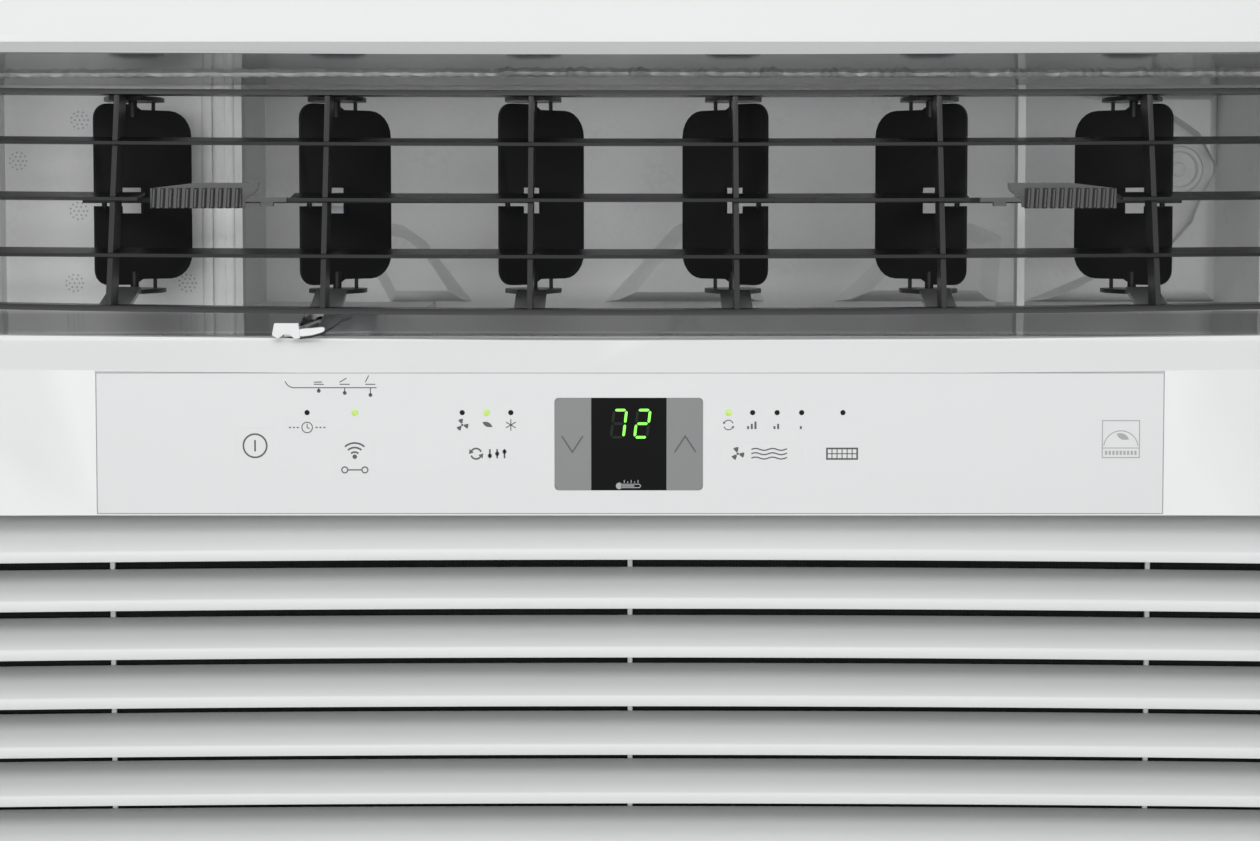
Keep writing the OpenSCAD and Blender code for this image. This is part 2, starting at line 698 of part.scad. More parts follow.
// Blower wheel: back disc, front ring, forward-curved blades and hub
module blower_wheel() {
    wheel_y = [-163, -92];
    color("slategray") translate([fan_x, 0, fan_z]) {
        difference() {
            union() {
                bar_y(0, [wheel_y[1] - 2, wheel_y[1]], 0, blower_r);
                bar_y(0, [-122, wheel_y[1] - 1], 0, 16);
            }
            bar_y(0, [-123, wheel_y[1] + 1], 0, shaft_r + 0.02);
        }
        difference() {
            bar_y(0, [wheel_y[0], wheel_y[0] + 3], 0, blower_r);
            bar_y(0, [wheel_y[0] - 1, wheel_y[0] + 4], 0, blower_r - 14);
        }
        for (i = [0 : blower_blades - 1]) rotate([0, i * 360 / blower_blades, 0])
            translate([blower_r - 7.5, wheel_y[0] + 3.02, 0]) rotate([0, 35, 0])
            translate([-6.5, 0, -0.6]) cube([13, wheel_y[1] - wheel_y[0] - 5.04, 1.2]);
    }
}
module motor_shaft() {
    color("silver") bar_y(fan_x, [-124, 182], fan_z, shaft_r);
}
module fan_motor() {
    color("dimgray") difference() {
        union() {
            bar_y(fan_x, [-40, 36], fan_z, 52);
            bar_y(fan_x, [-46, 42], fan_z, 40);
            bar_y(fan_x, [-56, 52], fan_z, 16);
            for (a = [0 : 60 : 300]) translate([fan_x, 0, fan_z]) rotate([0, a, 0])
                box([50, 55], [-38, 34], [-3, 3]);
        }
        bar_y(fan_x, [-60, 60], fan_z, shaft_r + run_gap);
    }
}
module motor_bracket() {
    color("silver") {
        for (y = [-30, 20]) difference() {
            prism_y([[fan_x - 95, 4.6], [fan_x - 95, 8], [fan_x - 30, fan_z + 10], [fan_x + 30, fan_z + 10],
                [fan_x + 95, 8], [fan_x + 95, 4.6]], [y, y + 6]);
            bar_y(fan_x, [y - 1, y + 7], fan_z, 55.3);
            prism_y([[fan_x - 55, 12], [fan_x - 25, 98], [fan_x + 25, 98], [fan_x + 55, 12]], [y - 1, y + 7]);
        }
        box([fan_x - 105, fan_x + 105], [-35, 31], [3.2, 4.5]);
    }
}

// Condenser fan: hub, pitched blades and the slinger ring
module condenser_fan() {
    hub_y = [146, 178];
    blades = 5;
    color("slategray") translate([fan_x, 0, fan_z]) union() {
        difference() {
            bar_y(0, hub_y, 0, 26);
            bar_y(0, [hub_y[0] - 1, hub_y[1] + 1], 0, shaft_r + 0.02);
        }
        intersection() {
            difference() {
                bar_y(0, hub_y, 0, cond_fan_r + 1);
                bar_y(0, [hub_y[0] - 1, hub_y[1] + 1], 0, 24);
            }
            for (i = [0 : blades - 1]) rotate([0, i * 360 / blades, 0]) translate([0, 162, 0])
                rotate([28, 0, 0]) translate([20, -1, -30]) cube([120, 2, 60]);
        }
        difference() {
            bar_y(0, [157, 167], 0, cond_fan_r + 3);
            bar_y(0, [156, 168], 0, cond_fan_r);
        }
    }
}
module fan_shroud() {
    shroud_half = cond_half + 10;
    plate_y = 190;
    hole_r = cond_fan_r + 9;
    color("dimgray") difference() {
        union() {
            box([-shroud_half, shroud_half], [plate_y, plate_y + 2], [24, 428]);
            bar_y(fan_x, [152, plate_y + 1], fan_z, hole_r + 2);
            for (x = [-shroud_half, shroud_half - 2]) box([x, x + 2], [plate_y, 226], [24, 428]);
            box([-shroud_half, shroud_half], [plate_y, 226], [426, 428]);
        }
        bar_y(fan_x, [150, plate_y + 3], fan_z, hole_r);
    }
}
module bulkhead() {
    wall_y = [-62, -60.8];
    wall_half = pan_half - 5;
    color("silver") difference() {
        union() {
            box([-wall_half, wall_half], wall_y, [3.2, 439]);
            box([-wall_half, wall_half], [-62, -52], [3.2, 4.4]);
        }
        bar_y(fan_x, [-63, -60], fan_z, 20);
        box([vent_x - 16, vent_x + 16], [-63, -60], [326, 354]);
        bar_y(vent_x, [-63, -60], vent_z, 2.5);
    }
    color("silver") for (s = [-1, 1]) difference() {
        box([vent_x + s * 22.4 - 1, vent_x + s * 22.4 + 1], [-60.78, flap_y + 4], [flap_z - 6, flap_z + 6]);
        bar_x([vent_x - 30, vent_x + 30], flap_y, flap_z, 2 + run_gap);
    }
}

// Finned coil: upright plates on a common core
module fins(x, y, z) {
    fin = 2;
    count = floor((x[1] - x[0] - fin) / coil_pitch) + 1;
    core = (y[0] + y[1]) / 2;
    edge = [for (i = [0 : count - 1]) let (a = x[0] + i * coil_pitch)
        each [[a, core - 2], [a, y[0]], [a + fin, y[0]], [a + fin, core - 2]]];
    rear = [for (p = edge) [p[0], 2 * core - p[1]]];
    translate([0, 0, z[0]]) linear_extrude(z[1] - z[0])
        polygon(concat(edge, [for (i = [len(rear) - 1 : -1 : 0]) rear[i]]));
}
module bends(x, y, z0, count, pitch, s) {
    for (i = [0 : count - 1]) translate([x, y, z0 + i * pitch]) rotate([90, 0, 0])
        rotate([0, 0, s > 0 ? -90 : 90]) rotate_extrude(angle = 180) translate([10, 0]) circle(r = 4);
}
module evaporator_fins() {
    color("silver") fins([-evap_half, evap_half], evap_y, [4, 275]);
}
module evaporator_tubes() {
    color("peru") for (s = [-1, 1]) {
        for (y = evap_bend_y) bends(s * (evap_half + bend_gap), y, 52, 5, 46, s);
    }
}
module condenser_fins() {
    color("silver") fins([-cond_half, cond_half], cond_y, [4, 426]);
}
module condenser_tubes() {
    color("peru") for (s = [-1, 1]) {
        for (y = cond_bend_y) bends(s * (cond_half + 2 * bend_gap), y, 48, 8, 48, s);
    }
}

// Sealed compressor on three rubber feet
comp_x = -195;
comp_y = 55;
module compressor() {
    color("dimgray") {
        translate([comp_x, comp_y, 20]) rotate_extrude() polygon(concat([[0, 0], [30, 0]],
            arc(52, 18, 8, -60, 0, 4), [[61, 40], [61, 165]], arc(41, 175, 20, 0, 70, 6),
            [[20, 205], [0, 207]]));
        translate([comp_x, comp_y, 16]) linear_extrude(4.1) difference() {
            polygon([for (i = [0 : 2]) for (j = [-12, 12]) let (a = 90 + i * 120 + j) 82 * [cos(a), sin(a)]]);
            for (i = [0 : 2]) rotate(90 + i * 120) translate([72, 0]) circle(r = 5.05);
        }
        bar_z(comp_x + 84, comp_y - 36, [60, 190], 17);
        box([comp_x - 14, comp_x + 14], [comp_y - 74, comp_y - 60], [110, 160]);
    }
}
module compressor_feet() {
    color("black") for (i = [0 : 2]) translate([comp_x, comp_y, 0]) rotate([0, 0, 90 + i * 120])
        translate([72, 0, 0]) {
            bar_z(0, 0, [3.2, 15.9], 11);
            bar_z(0, 0, [15.8, 24], 5);
        }
}
module suction_line() {
    color("peru") pipe_run([[comp_x + 84, comp_y - 36, 190.1], [comp_x + 84, comp_y - 36, 300],
        [comp_x + 84, -20, 320], [-296, -20, 320]], 4.8);
}
module discharge_line() {
    color("peru") pipe_run([[comp_x, comp_y, 227.1], [comp_x, comp_y, 300], [comp_x, 150, 340],
        [-311, 165, 380], [-311, 247, 400]], 3.2);
}
module capacitor() {
    color("silver") bar_z(capacitor_at[0], capacitor_at[1], [110.1, 190], capacitor_r);
}
module control_box() {
    color("lightgray") difference() {
        box([280, 317], [-170, -68], [30, 262]);
        box([282, 315], [-172, -70], [32, 100]);
        box([282, 315], [-172, -70], [110, 260]);
    }
}
module sensor_probe() {
    color("peru") {
        bar_x([160, 200], -220, 210, 3);
        box([176, 184], [-223.4, -215.02], [213.2, 216]);
    }
}

// Base pan: tray with a rolled edge and stamped pads
module base_pan() {
    rim = 25;
    x = pan_half;
    y = [bezel_back + 1, back_y - 3];
    color("lightgray") difference() {
        box([-x, x], y, [0, rim]);
        box([-x + sheet_t, x - sheet_t], y + [sheet_t, -sheet_t], [3, rim + 1]);
        bar_z(drain_at[0], drain_at[1], [-1, 4], drain_r);
        for (s = [-1, 1]) for (yy = [-205, -165]) bar_z(s * sill_hole_x, yy, [-1, 4], sill_hole_r);
    }
}

// Cabinet: one sheet over both sides and the top, with side and top vents
module cabinet_wrap() {
    x = body_w / 2 - 4;
    top = 441;
    y = [bezel_back + 1, back_y - 0.5];
    color("lightgray") difference() {
        box([-x, x], y, [12, top]);
        box([-x + sheet_t, x - sheet_t], y + [-1, 1], [0, top - sheet_t]);
        for (s = [-1, 1]) for (i = [0 : 1]) for (j = [0 : 11])
            box([s * x - 3, s * x + 3], [i * 75 + 50, i * 75 + 110], [140 + j * 20, 146 + j * 20]);
        for (i = [0 : 6]) for (s = [-1, 1])
            box([s * 125 - 70, s * 125 + 70], [95 + i * 18, 101 + i * 18], [top - 3, top + 1]);
        for (s = [-1, 1]) bar_z(s * clamp_screw_x, clamp_screw_y, [top - 3, top + 1], 2.1);
    }
}

// Guard of upright and level bars over the rear coil
module rear_guard() {
    y = [back_y - 6, back_y - 1];
    bar_end = body_w / 2 - 20;
    color("lightgray") {
        for (s = [-1, 1]) box([s * (bar_end + 5) - 4.98, s * (bar_end + 5) + 4.98], y, [25.4, 436]);
        for (z = [25.4, 426]) box([-bar_end, bar_end], y, [z, z + 10]);
        for (i = [1 : 12]) box([-bar_end, bar_end], [y[1] - 2, y[1] + 1], [32 + i * 30, 34.4 + i * 30]);
        for (i = [-9 : 9]) box([i * 32 - 1.2, i * 32 + 1.2], [y[0], y[1] - 2.02], [35.42, 425.98]);
    }
}
module top_rail() {
    y = [-162, -137];
    length = [-298, 298];
    color("silver") difference() {
        union() {
            box(length, y, [441.02, 442.5]);
            box(length, [y[0], y[0] + 1.5], [441.02, 454]);
        }
        for (s = [-1, 1]) bar_z(s * clamp_screw_x, clamp_screw_y, [440, 444], 2.2);
        for (s = [-1, 1]) bar_y(s * 200, [y[0] - 1, y[0] + 3], 448, 2.25);
    }
}
module cabinet_screws() {
    head_r = 4;
    stem_r = 1.9;
    skin = body_w / 2 - 4;
    color("silver") {
        for (s = [-1, 1]) for (y = side_screw_y) let (stem = s * (skin - 3.8), head = s * (skin + 1.35)) {
            bar_x([stem - 6.2, stem + 6.2], y, side_screw_z, stem_r);
            bar_x([head - 1.05, head + 1.05], y, side_screw_z, head_r);
        }
        for (s = [-1, 1]) {
            bar_z(s * clamp_screw_x, clamp_screw_y, [437, 444.5], stem_r);
            bar_z(s * clamp_screw_x, clamp_screw_y, [442.52, 444.5], head_r);
        }
    }
}
module cord_gland() {
    color("dimgray") translate([gland_x, front_y, gland_z]) rotate([-90, 0, 0]) difference() {
        union() {
            cylinder(h = 12, r = gland_r);
            translate([0, 0, bezel_wall + 0.05]) cylinder(h = 3, r = flange_r);
        }
        translate([0, 0, -1]) cylinder(h = 14, r = 3.9);
    }
}

front_bezel();
control_overlay();
power_key();
scheduler_key();
connect_key();
mode_key();
temp_down_key();
temp_up_key();
fan_speed_key();
filter_key();
display_window();
display_module();
indicator_lenses();
control_board();
board_carrier();
intake_grille();
air_filter();
discharge_housing();
louver_cassette();
left_link();
right_link();
left_tab();
right_tab();
vane_left_outer();
vane_left_middle();
vane_left_inner();
vane_right_inner();
vane_right_middle();
vane_right_outer();
vent_lever();
vent_rod();
vent_flap();
duct_foam();
duct_strips();
inlet_ring();
blower_wheel();
motor_shaft();
fan_motor();
motor_bracket();
condenser_fan();
fan_shroud();
bulkhead();
evaporator_fins();
evaporator_tubes();
condenser_fins();
condenser_tubes();
compressor();
compressor_feet();
suction_line();
discharge_line();
capacitor();
control_box();
sensor_probe();
base_pan();
cabinet_wrap();
rear_guard();
top_rail();
cabinet_screws();
cord_gland();
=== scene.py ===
"""Looks of the window air conditioner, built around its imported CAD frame."""
import json
import math

import bmesh
import bpy
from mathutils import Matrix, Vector


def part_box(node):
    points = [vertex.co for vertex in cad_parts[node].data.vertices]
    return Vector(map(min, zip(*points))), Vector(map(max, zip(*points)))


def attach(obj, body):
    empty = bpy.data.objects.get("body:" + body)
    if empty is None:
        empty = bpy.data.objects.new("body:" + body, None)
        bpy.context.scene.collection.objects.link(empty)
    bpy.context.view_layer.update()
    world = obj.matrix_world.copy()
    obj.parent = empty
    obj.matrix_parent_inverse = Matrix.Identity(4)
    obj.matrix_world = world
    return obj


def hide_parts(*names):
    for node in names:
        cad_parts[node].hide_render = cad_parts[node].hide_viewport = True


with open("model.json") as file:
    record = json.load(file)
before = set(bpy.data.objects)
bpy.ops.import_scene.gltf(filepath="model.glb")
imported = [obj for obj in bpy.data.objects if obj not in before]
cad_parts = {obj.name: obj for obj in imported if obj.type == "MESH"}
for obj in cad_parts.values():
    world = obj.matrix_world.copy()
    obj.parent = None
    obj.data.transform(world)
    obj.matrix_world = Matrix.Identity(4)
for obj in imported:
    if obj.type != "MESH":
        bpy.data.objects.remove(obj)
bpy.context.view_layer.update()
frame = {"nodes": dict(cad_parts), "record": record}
NODES = frame["nodes"]
MM = 0.001

# ---------------------------------------------------------------- places read from the frame
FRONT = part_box("control_overlay")[0].y
MOUTH_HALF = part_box("discharge_housing")[1].x - 4 * MM
OVERLAY_LOW, OVERLAY_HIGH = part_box("control_overlay")
WINDOW_LOW, WINDOW_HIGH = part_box("display_window")
DOOR_LOW, DOOR_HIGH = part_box("intake_grille")


def centre(node):
    low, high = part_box(node)
    return (low + high) / 2


# ---------------------------------------------------------------- materials
def new_material(name):
    material = bpy.data.materials.new(name)
    material.use_nodes = True
    return material, material.node_tree.nodes, material.node_tree.links


def noise(nodes, links, coord, scale, detail=4.0, rough=0.55):
    node = nodes.new("ShaderNodeTexNoise")
    node.inputs["Scale"].default_value = scale
    node.inputs["Detail"].default_value = detail
    node.inputs["Roughness"].default_value = rough
    links.new(coord, node.inputs["Vector"])
    return node.outputs["Fac"]


def map_range(nodes, links, value, low, high, out_low, out_high):
    node = nodes.new("ShaderNodeMapRange")
    node.inputs["From Min"].default_value = low
    node.inputs["From Max"].default_value = high
    node.inputs["To Min"].default_value = out_low
    node.inputs["To Max"].default_value = out_high
    links.new(value, node.inputs["Value"])
    return node.outputs["Result"]


def mix_colour(nodes, links, factor, a, b):
    node = nodes.new("ShaderNodeMix")
    node.data_type = "RGBA"
    links.new(factor, node.inputs["Factor"])
    for socket, value in ((node.inputs["A"], a), (node.inputs["B"], b)):
        if hasattr(value, "links"):
            links.new(value, socket)
        else:
            socket.default_value = (*value, 1)
    return node.outputs["Result"]


def surface(name, colour, rough, metallic=0.0, grain=2600, bump=0.03, tint=0.05, edge_wear_and_highlight=0.25,
            spread=0.08, coat=0.0, stretch=None, sheen=0.0, gloss=0.5):
    """Principled material with colour drift, lighter sharp edges, roughness variation and a fine grain; the
    lighter edges are edge wear, and at full strength a painted highlight.
    """
    material, nodes, links = new_material(name)
    shader = nodes["Principled BSDF"]
    shader.inputs["Metallic"].default_value = metallic
    shader.inputs["Coat Weight"].default_value = coat
    shader.inputs["Coat Roughness"].default_value = 0.08
    shader.inputs["Sheen Weight"].default_value = sheen
    shader.inputs["Specular IOR Level"].default_value = gloss
    texture = nodes.new("ShaderNodeTexCoord")
    coord = texture.outputs["Object"]
    if stretch:
        mapping = nodes.new("ShaderNodeMapping")
        mapping.inputs["Scale"].default_value = stretch
        links.new(coord, mapping.inputs["Vector"])
        coord = mapping.outputs["Vector"]
    fine = noise(nodes, links, coord, grain, 3.0)
    broad = noise(nodes, links, coord, 9.0, 5.0)
    darker = [c * (1 - tint) for c in colour]
    lighter = [min(1.0, c * (1 + tint * 0.5)) for c in colour]
    base = mix_colour(nodes, links, map_range(nodes, links, broad, 0.3, 0.7, 0, 1), darker, lighter)
    geometry = nodes.new("ShaderNodeNewGeometry")
    # Sharp edges are lightened: edge wear on most materials, and on the louver and tab materials, at full
    # strength, a painted highlight along the bevels.
    edge = map_range(nodes, links, geometry.outputs["Pointiness"], 0.52, 0.62, 0, edge_wear_and_highlight)
    worn_and_highlit = [min(1.0, c * 1.25 + 0.03) for c in colour]
    links.new(mix_colour(nodes, links, edge, base, worn_and_highlit), shader.inputs["Base Color"])
    links.new(map_range(nodes, links, broad, 0.25, 0.75, max(0.02, rough - spread), rough + spread),
              shader.inputs["Roughness"])
    bump_node = nodes.new("ShaderNodeBump")
    bump_node.inputs["Strength"].default_value = bump * 6
    bump_node.inputs["Distance"].default_value = 0.00006
    links.new(fine, bump_node.inputs["Height"])
    links.new(bump_node.outputs["Normal"], shader.inputs["Normal"])
    return material


def foam_material(name, colour):
    """Bead foam: a cell pattern of pressed beads with pock marks between them, darkened in patches as painted
    shade.
    """
    material, nodes, links = new_material(name)
    shader = nodes["Principled BSDF"]
    shader.inputs["Subsurface Weight"].default_value = 0.05
    shader.inputs["Subsurface Scale"].default_value = 0.002
    coord = nodes.new("ShaderNodeTexCoord").outputs["Object"]
    cells = nodes.new("ShaderNodeTexVoronoi")
    cells.inputs["Scale"].default_value = 330
    links.new(coord, cells.inputs["Vector"])
    broad = noise(nodes, links, coord, 16, 5.0)
    patches = noise(nodes, links, coord, 38, 2.0)
    # The crevices between beads darken in patches: painted shade in the pock marks.
    holes = map_range(nodes, links, cells.outputs["Distance"], 0.35, 0.8, 0, 1)
    masked = nodes.new("ShaderNodeMath")
    masked.operation = "MULTIPLY"
    links.new(holes, masked.inputs[0])
    links.new(map_range(nodes, links, patches, 0.55, 0.75, 0.03, 0.16), masked.inputs[1])
    darker = [c * 0.93 for c in colour]
    base = mix_colour(nodes, links, map_range(nodes, links, broad, 0.3, 0.7, 0, 1), darker, colour)
    pit_shade = [c * 0.55 for c in colour]
    links.new(mix_colour(nodes, links, masked.outputs["Value"], base, pit_shade), shader.inputs["Base Color"])
    links.new(map_range(nodes, links, broad, 0.3, 0.7, 0.75, 0.9), shader.inputs["Roughness"])
    bump = nodes.new("ShaderNodeBump")
    bump.inputs["Strength"].default_value = 0.16
    bump.inputs["Distance"].default_value = 0.0004
    bump.invert = True
    links.new(cells.outputs["Distance"], bump.inputs["Height"])
    links.new(bump.outputs["Normal"], shader.inputs["Normal"])
    return material


def weave_material(name, colour):
    """Filter mesh: fine crossed threads, the gaps between them painted near-black as the shade seen through
    the mesh.
    """
    material, nodes, links = new_material(name)
    shader = nodes["Principled BSDF"]
    shader.inputs["Specular IOR Level"].default_value = 0.15
    coord = nodes.new("ShaderNodeTexCoord").outputs["Object"]
    waves = []
    for direction in ("X", "Z"):
        wave = nodes.new("ShaderNodeTexWave")
        wave.bands_direction = direction
        wave.inputs["Scale"].default_value = 210
        links.new(coord, wave.inputs["Vector"])
        waves.append(wave.outputs["Fac"])
    threads = nodes.new("ShaderNodeMath")
    threads.operation = "MAXIMUM"
    links.new(waves[0], threads.inputs[0])
    links.new(waves[1], threads.inputs[1])
    # Between the threads: near-black, painted shade for the dark space seen through the openings.
    dark = [c * 0.15 for c in colour]
    links.new(mix_colour(nodes, links, map_range(nodes, links, threads.outputs["Value"], 0.6, 0.9, 0, 1),
                         dark, colour), shader.inputs["Base Color"])
    links.new(map_range(nodes, links, noise(nodes, links, coord, 60), 0.3, 0.7, 0.55, 0.75),
              shader.inputs["Roughness"])
    bump = nodes.new("ShaderNodeBump")
    bump.inputs["Strength"].default_value = 0.5
    bump.inputs["Distance"].default_value = 0.0003
    links.new(threads.outputs["Value"], bump.inputs["Height"])
    links.new(bump.outputs["Normal"], shader.inputs["Normal"])
    return material


def glow_material(name, colour, strength):
    """A lit segment or lamp with a slightly uneven glow."""
    material, nodes, links = new_material(name)
    shader = nodes["Principled BSDF"]
    coord = nodes.new("ShaderNodeTexCoord").outputs["Object"]
    drift = noise(nodes, links, coord, 700, 2.0)
    shade = mix_colour(nodes, links, map_range(nodes, links, drift, 0.3, 0.7, 0, 1),
                       [c * 0.85 for c in colour], colour)
    links.new(shade, shader.inputs["Base Color"])
    links.new(shade, shader.inputs["Emission Color"])
    links.new(map_range(nodes, links, drift, 0.3, 0.7, 0.3, 0.4), shader.inputs["Roughness"])
    shader.inputs["Emission Strength"].default_value = strength
    return material


BEZEL_WHITE = surface("bezel_white", (0.565, 0.57, 0.57), 0.42, grain=3000, bump=0.02, tint=0.015, edge_wear_and_highlight=0.3)
OVERLAY_GREY = surface("overlay_grey", (0.545, 0.548, 0.55), 0.5, grain=4200, bump=0.03, tint=0.012,
                       edge_wear_and_highlight=0.05)
KEY_GREY = surface("key_grey", (0.155, 0.157, 0.158), 0.5, grain=4200, bump=0.03, tint=0.03, edge_wear_and_highlight=0.2)
DISPLAY_BLACK = surface("display_black", (0.003, 0.003, 0.0035), 0.3, grain=900, bump=0.004, tint=0.2,
                        edge_wear_and_highlight=0.1, spread=0.04, gloss=0.03)
INK = surface("ink_grey", (0.07, 0.071, 0.073), 0.6, grain=5000, bump=0.02, tint=0.1, edge_wear_and_highlight=0.0)
INK_PALE = surface("ink_pale", (0.30, 0.305, 0.31), 0.6, grain=5000, bump=0.02, tint=0.1, edge_wear_and_highlight=0.0)
LAMP_DARK = surface("lamp_dark", (0.004, 0.004, 0.005), 0.4, grain=2500, bump=0.02, tint=0.1, edge_wear_and_highlight=0.2,
                    gloss=0.1)
LAMP_GREEN = glow_material("lamp_green", (0.40, 0.58, 0.12), 0.12)
SEGMENT_GREEN = glow_material("segment_green", (0.19, 0.78, 0.06), 0.75)
SEGMENT_OFF = surface("segment_off", (0.010, 0.016, 0.010), 0.4, grain=2500, bump=0.02, tint=0.2, edge_wear_and_highlight=0.0,
                      gloss=0.1)
# Edges at full strength: a painted highlight along the bevelled edges of the blades, ribs, links and wire.
LOUVER_DARK = surface("louver_dark", (0.006, 0.0062, 0.0065), 0.30, grain=2200, bump=0.02, tint=0.10,
                      edge_wear_and_highlight=1.0, spread=0.06, gloss=0.16)
HOUSING_DARK = surface("housing_dark", (0.165, 0.168, 0.17), 0.10, grain=1500, bump=0.012, tint=0.10,
                       edge_wear_and_highlight=0.2, spread=0.03, coat=0.3)
VANE_BLACK = surface("vane_black", (0.014, 0.014, 0.0145), 0.42, grain=2600, bump=0.05, tint=0.2, edge_wear_and_highlight=0.5,
                     gloss=0.25)
# Edges at full strength: a painted highlight along the tab ridges and edges.
TAB_GREY = surface("tab_grey", (0.012, 0.0122, 0.0125), 0.26, grain=2600, bump=0.04, tint=0.1, edge_wear_and_highlight=1.0,
                   gloss=0.3)
FAN_GREY = surface("fan_grey", (0.05, 0.055, 0.065), 0.45, grain=2000, bump=0.05, tint=0.12, edge_wear_and_highlight=0.4)
FOAM_GREY = foam_material("foam_grey", (0.90, 0.905, 0.905))
# Darker grey for the moulding pips: painted shade in the small dimples of the foam.
FOAM_PIT_SHADE = surface("foam_pit_shade", (0.55, 0.555, 0.56), 0.8, grain=1200, bump=0.1, tint=0.1, edge_wear_and_highlight=0.0)
STRIP_WHITE = surface("strip_white", (0.70, 0.71, 0.71), 0.5, tint=0.04)
PALE_ROOF_BAND = surface("pale_roof_band", (0.60, 0.605, 0.61), 0.3, grain=300, bump=0.3, tint=0.3, edge_wear_and_highlight=0.3, coat=0.3)
MESH_DARK = weave_material("mesh_dark", (0.009, 0.009, 0.0095))
SHEET_GREY = surface("sheet_grey", (0.62, 0.625, 0.62), 0.45, grain=1400, bump=0.10, tint=0.03, edge_wear_and_highlight=0.5)
ZINC = surface("zinc", (0.56, 0.58, 0.60), 0.38, metallic=0.9, grain=260, bump=0.08, tint=0.18, edge_wear_and_highlight=0.4,
               spread=0.14)
FIN_ALUMINIUM = surface("fin_aluminium", (0.75, 0.76, 0.77), 0.34, metallic=0.95, grain=1800, bump=0.06,
                        tint=0.10, edge_wear_and_highlight=0.3, stretch=(1, 1, 0.05))
COPPER = surface("copper", (0.72, 0.33, 0.20), 0.32, metallic=1.0, grain=700, bump=0.05, tint=0.25,
                 edge_wear_and_highlight=0.4, spread=0.12)
ENAMEL = surface("enamel", (0.015, 0.015, 0.017), 0.32, grain=900, bump=0.10, tint=0.2, edge_wear_and_highlight=0.5, coat=0.2)
RUBBER = surface("rubber", (0.012, 0.012, 0.012), 0.75, grain=1600, bump=0.12, tint=0.2, edge_wear_and_highlight=0.3, sheen=0.1)
STEEL = surface("steel", (0.60, 0.61, 0.62), 0.26, metallic=1.0, grain=900, bump=0.05, tint=0.08, edge_wear_and_highlight=0.3)
BOARD_GREEN = surface("board_green", (0.01, 0.10, 0.04), 0.4, grain=900, bump=0.06, tint=0.15, edge_wear_and_highlight=0.2)

SLOT_MATERIALS = {
    "bezel_plastic": BEZEL_WHITE, "overlay_film": OVERLAY_GREY, "key_grey": KEY_GREY,
    "display_black": DISPLAY_BLACK, "lamp_lens": LAMP_DARK, "board_green": BOARD_GREEN,
    "louver_plastic": LOUVER_DARK, "vane_plastic": VANE_BLACK, "tab_plastic": TAB_GREY,
    "filter_mesh": MESH_DARK, "duct_foam": FOAM_GREY, "strip_plastic": STRIP_WHITE,
    "fan_plastic": FAN_GREY, "steel_sheet": SHEET_GREY, "galvanised": ZINC,
    "fin_aluminium": FIN_ALUMINIUM, "copper_pipe": COPPER, "black_enamel": ENAMEL,
    "rubber_black": RUBBER, "steel_shaft": STEEL,
}


# ---------------------------------------------------------------- mesh helpers
def piece(name, verts, faces, material, body, replaces=(), smooth_angle=35):
    """A mesh object from vertices and faces that rides on a body."""
    mesh = bpy.data.meshes.new(name)
    mesh.from_pydata([tuple(v) for v in verts], [], faces)
    bm = bmesh.new()
    bm.from_mesh(mesh)
    bmesh.ops.recalc_face_normals(bm, faces=bm.faces)
    bm.to_mesh(mesh)
    bm.free()
    mesh.shade_smooth()
    mesh.set_sharp_from_angle(angle=math.radians(smooth_angle))
    mesh.materials.append(material)
    obj = bpy.data.objects.new(name, mesh)
    bpy.context.scene.collection.objects.link(obj)
    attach(obj, body)
    if replaces:
        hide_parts(*replaces)
    return obj


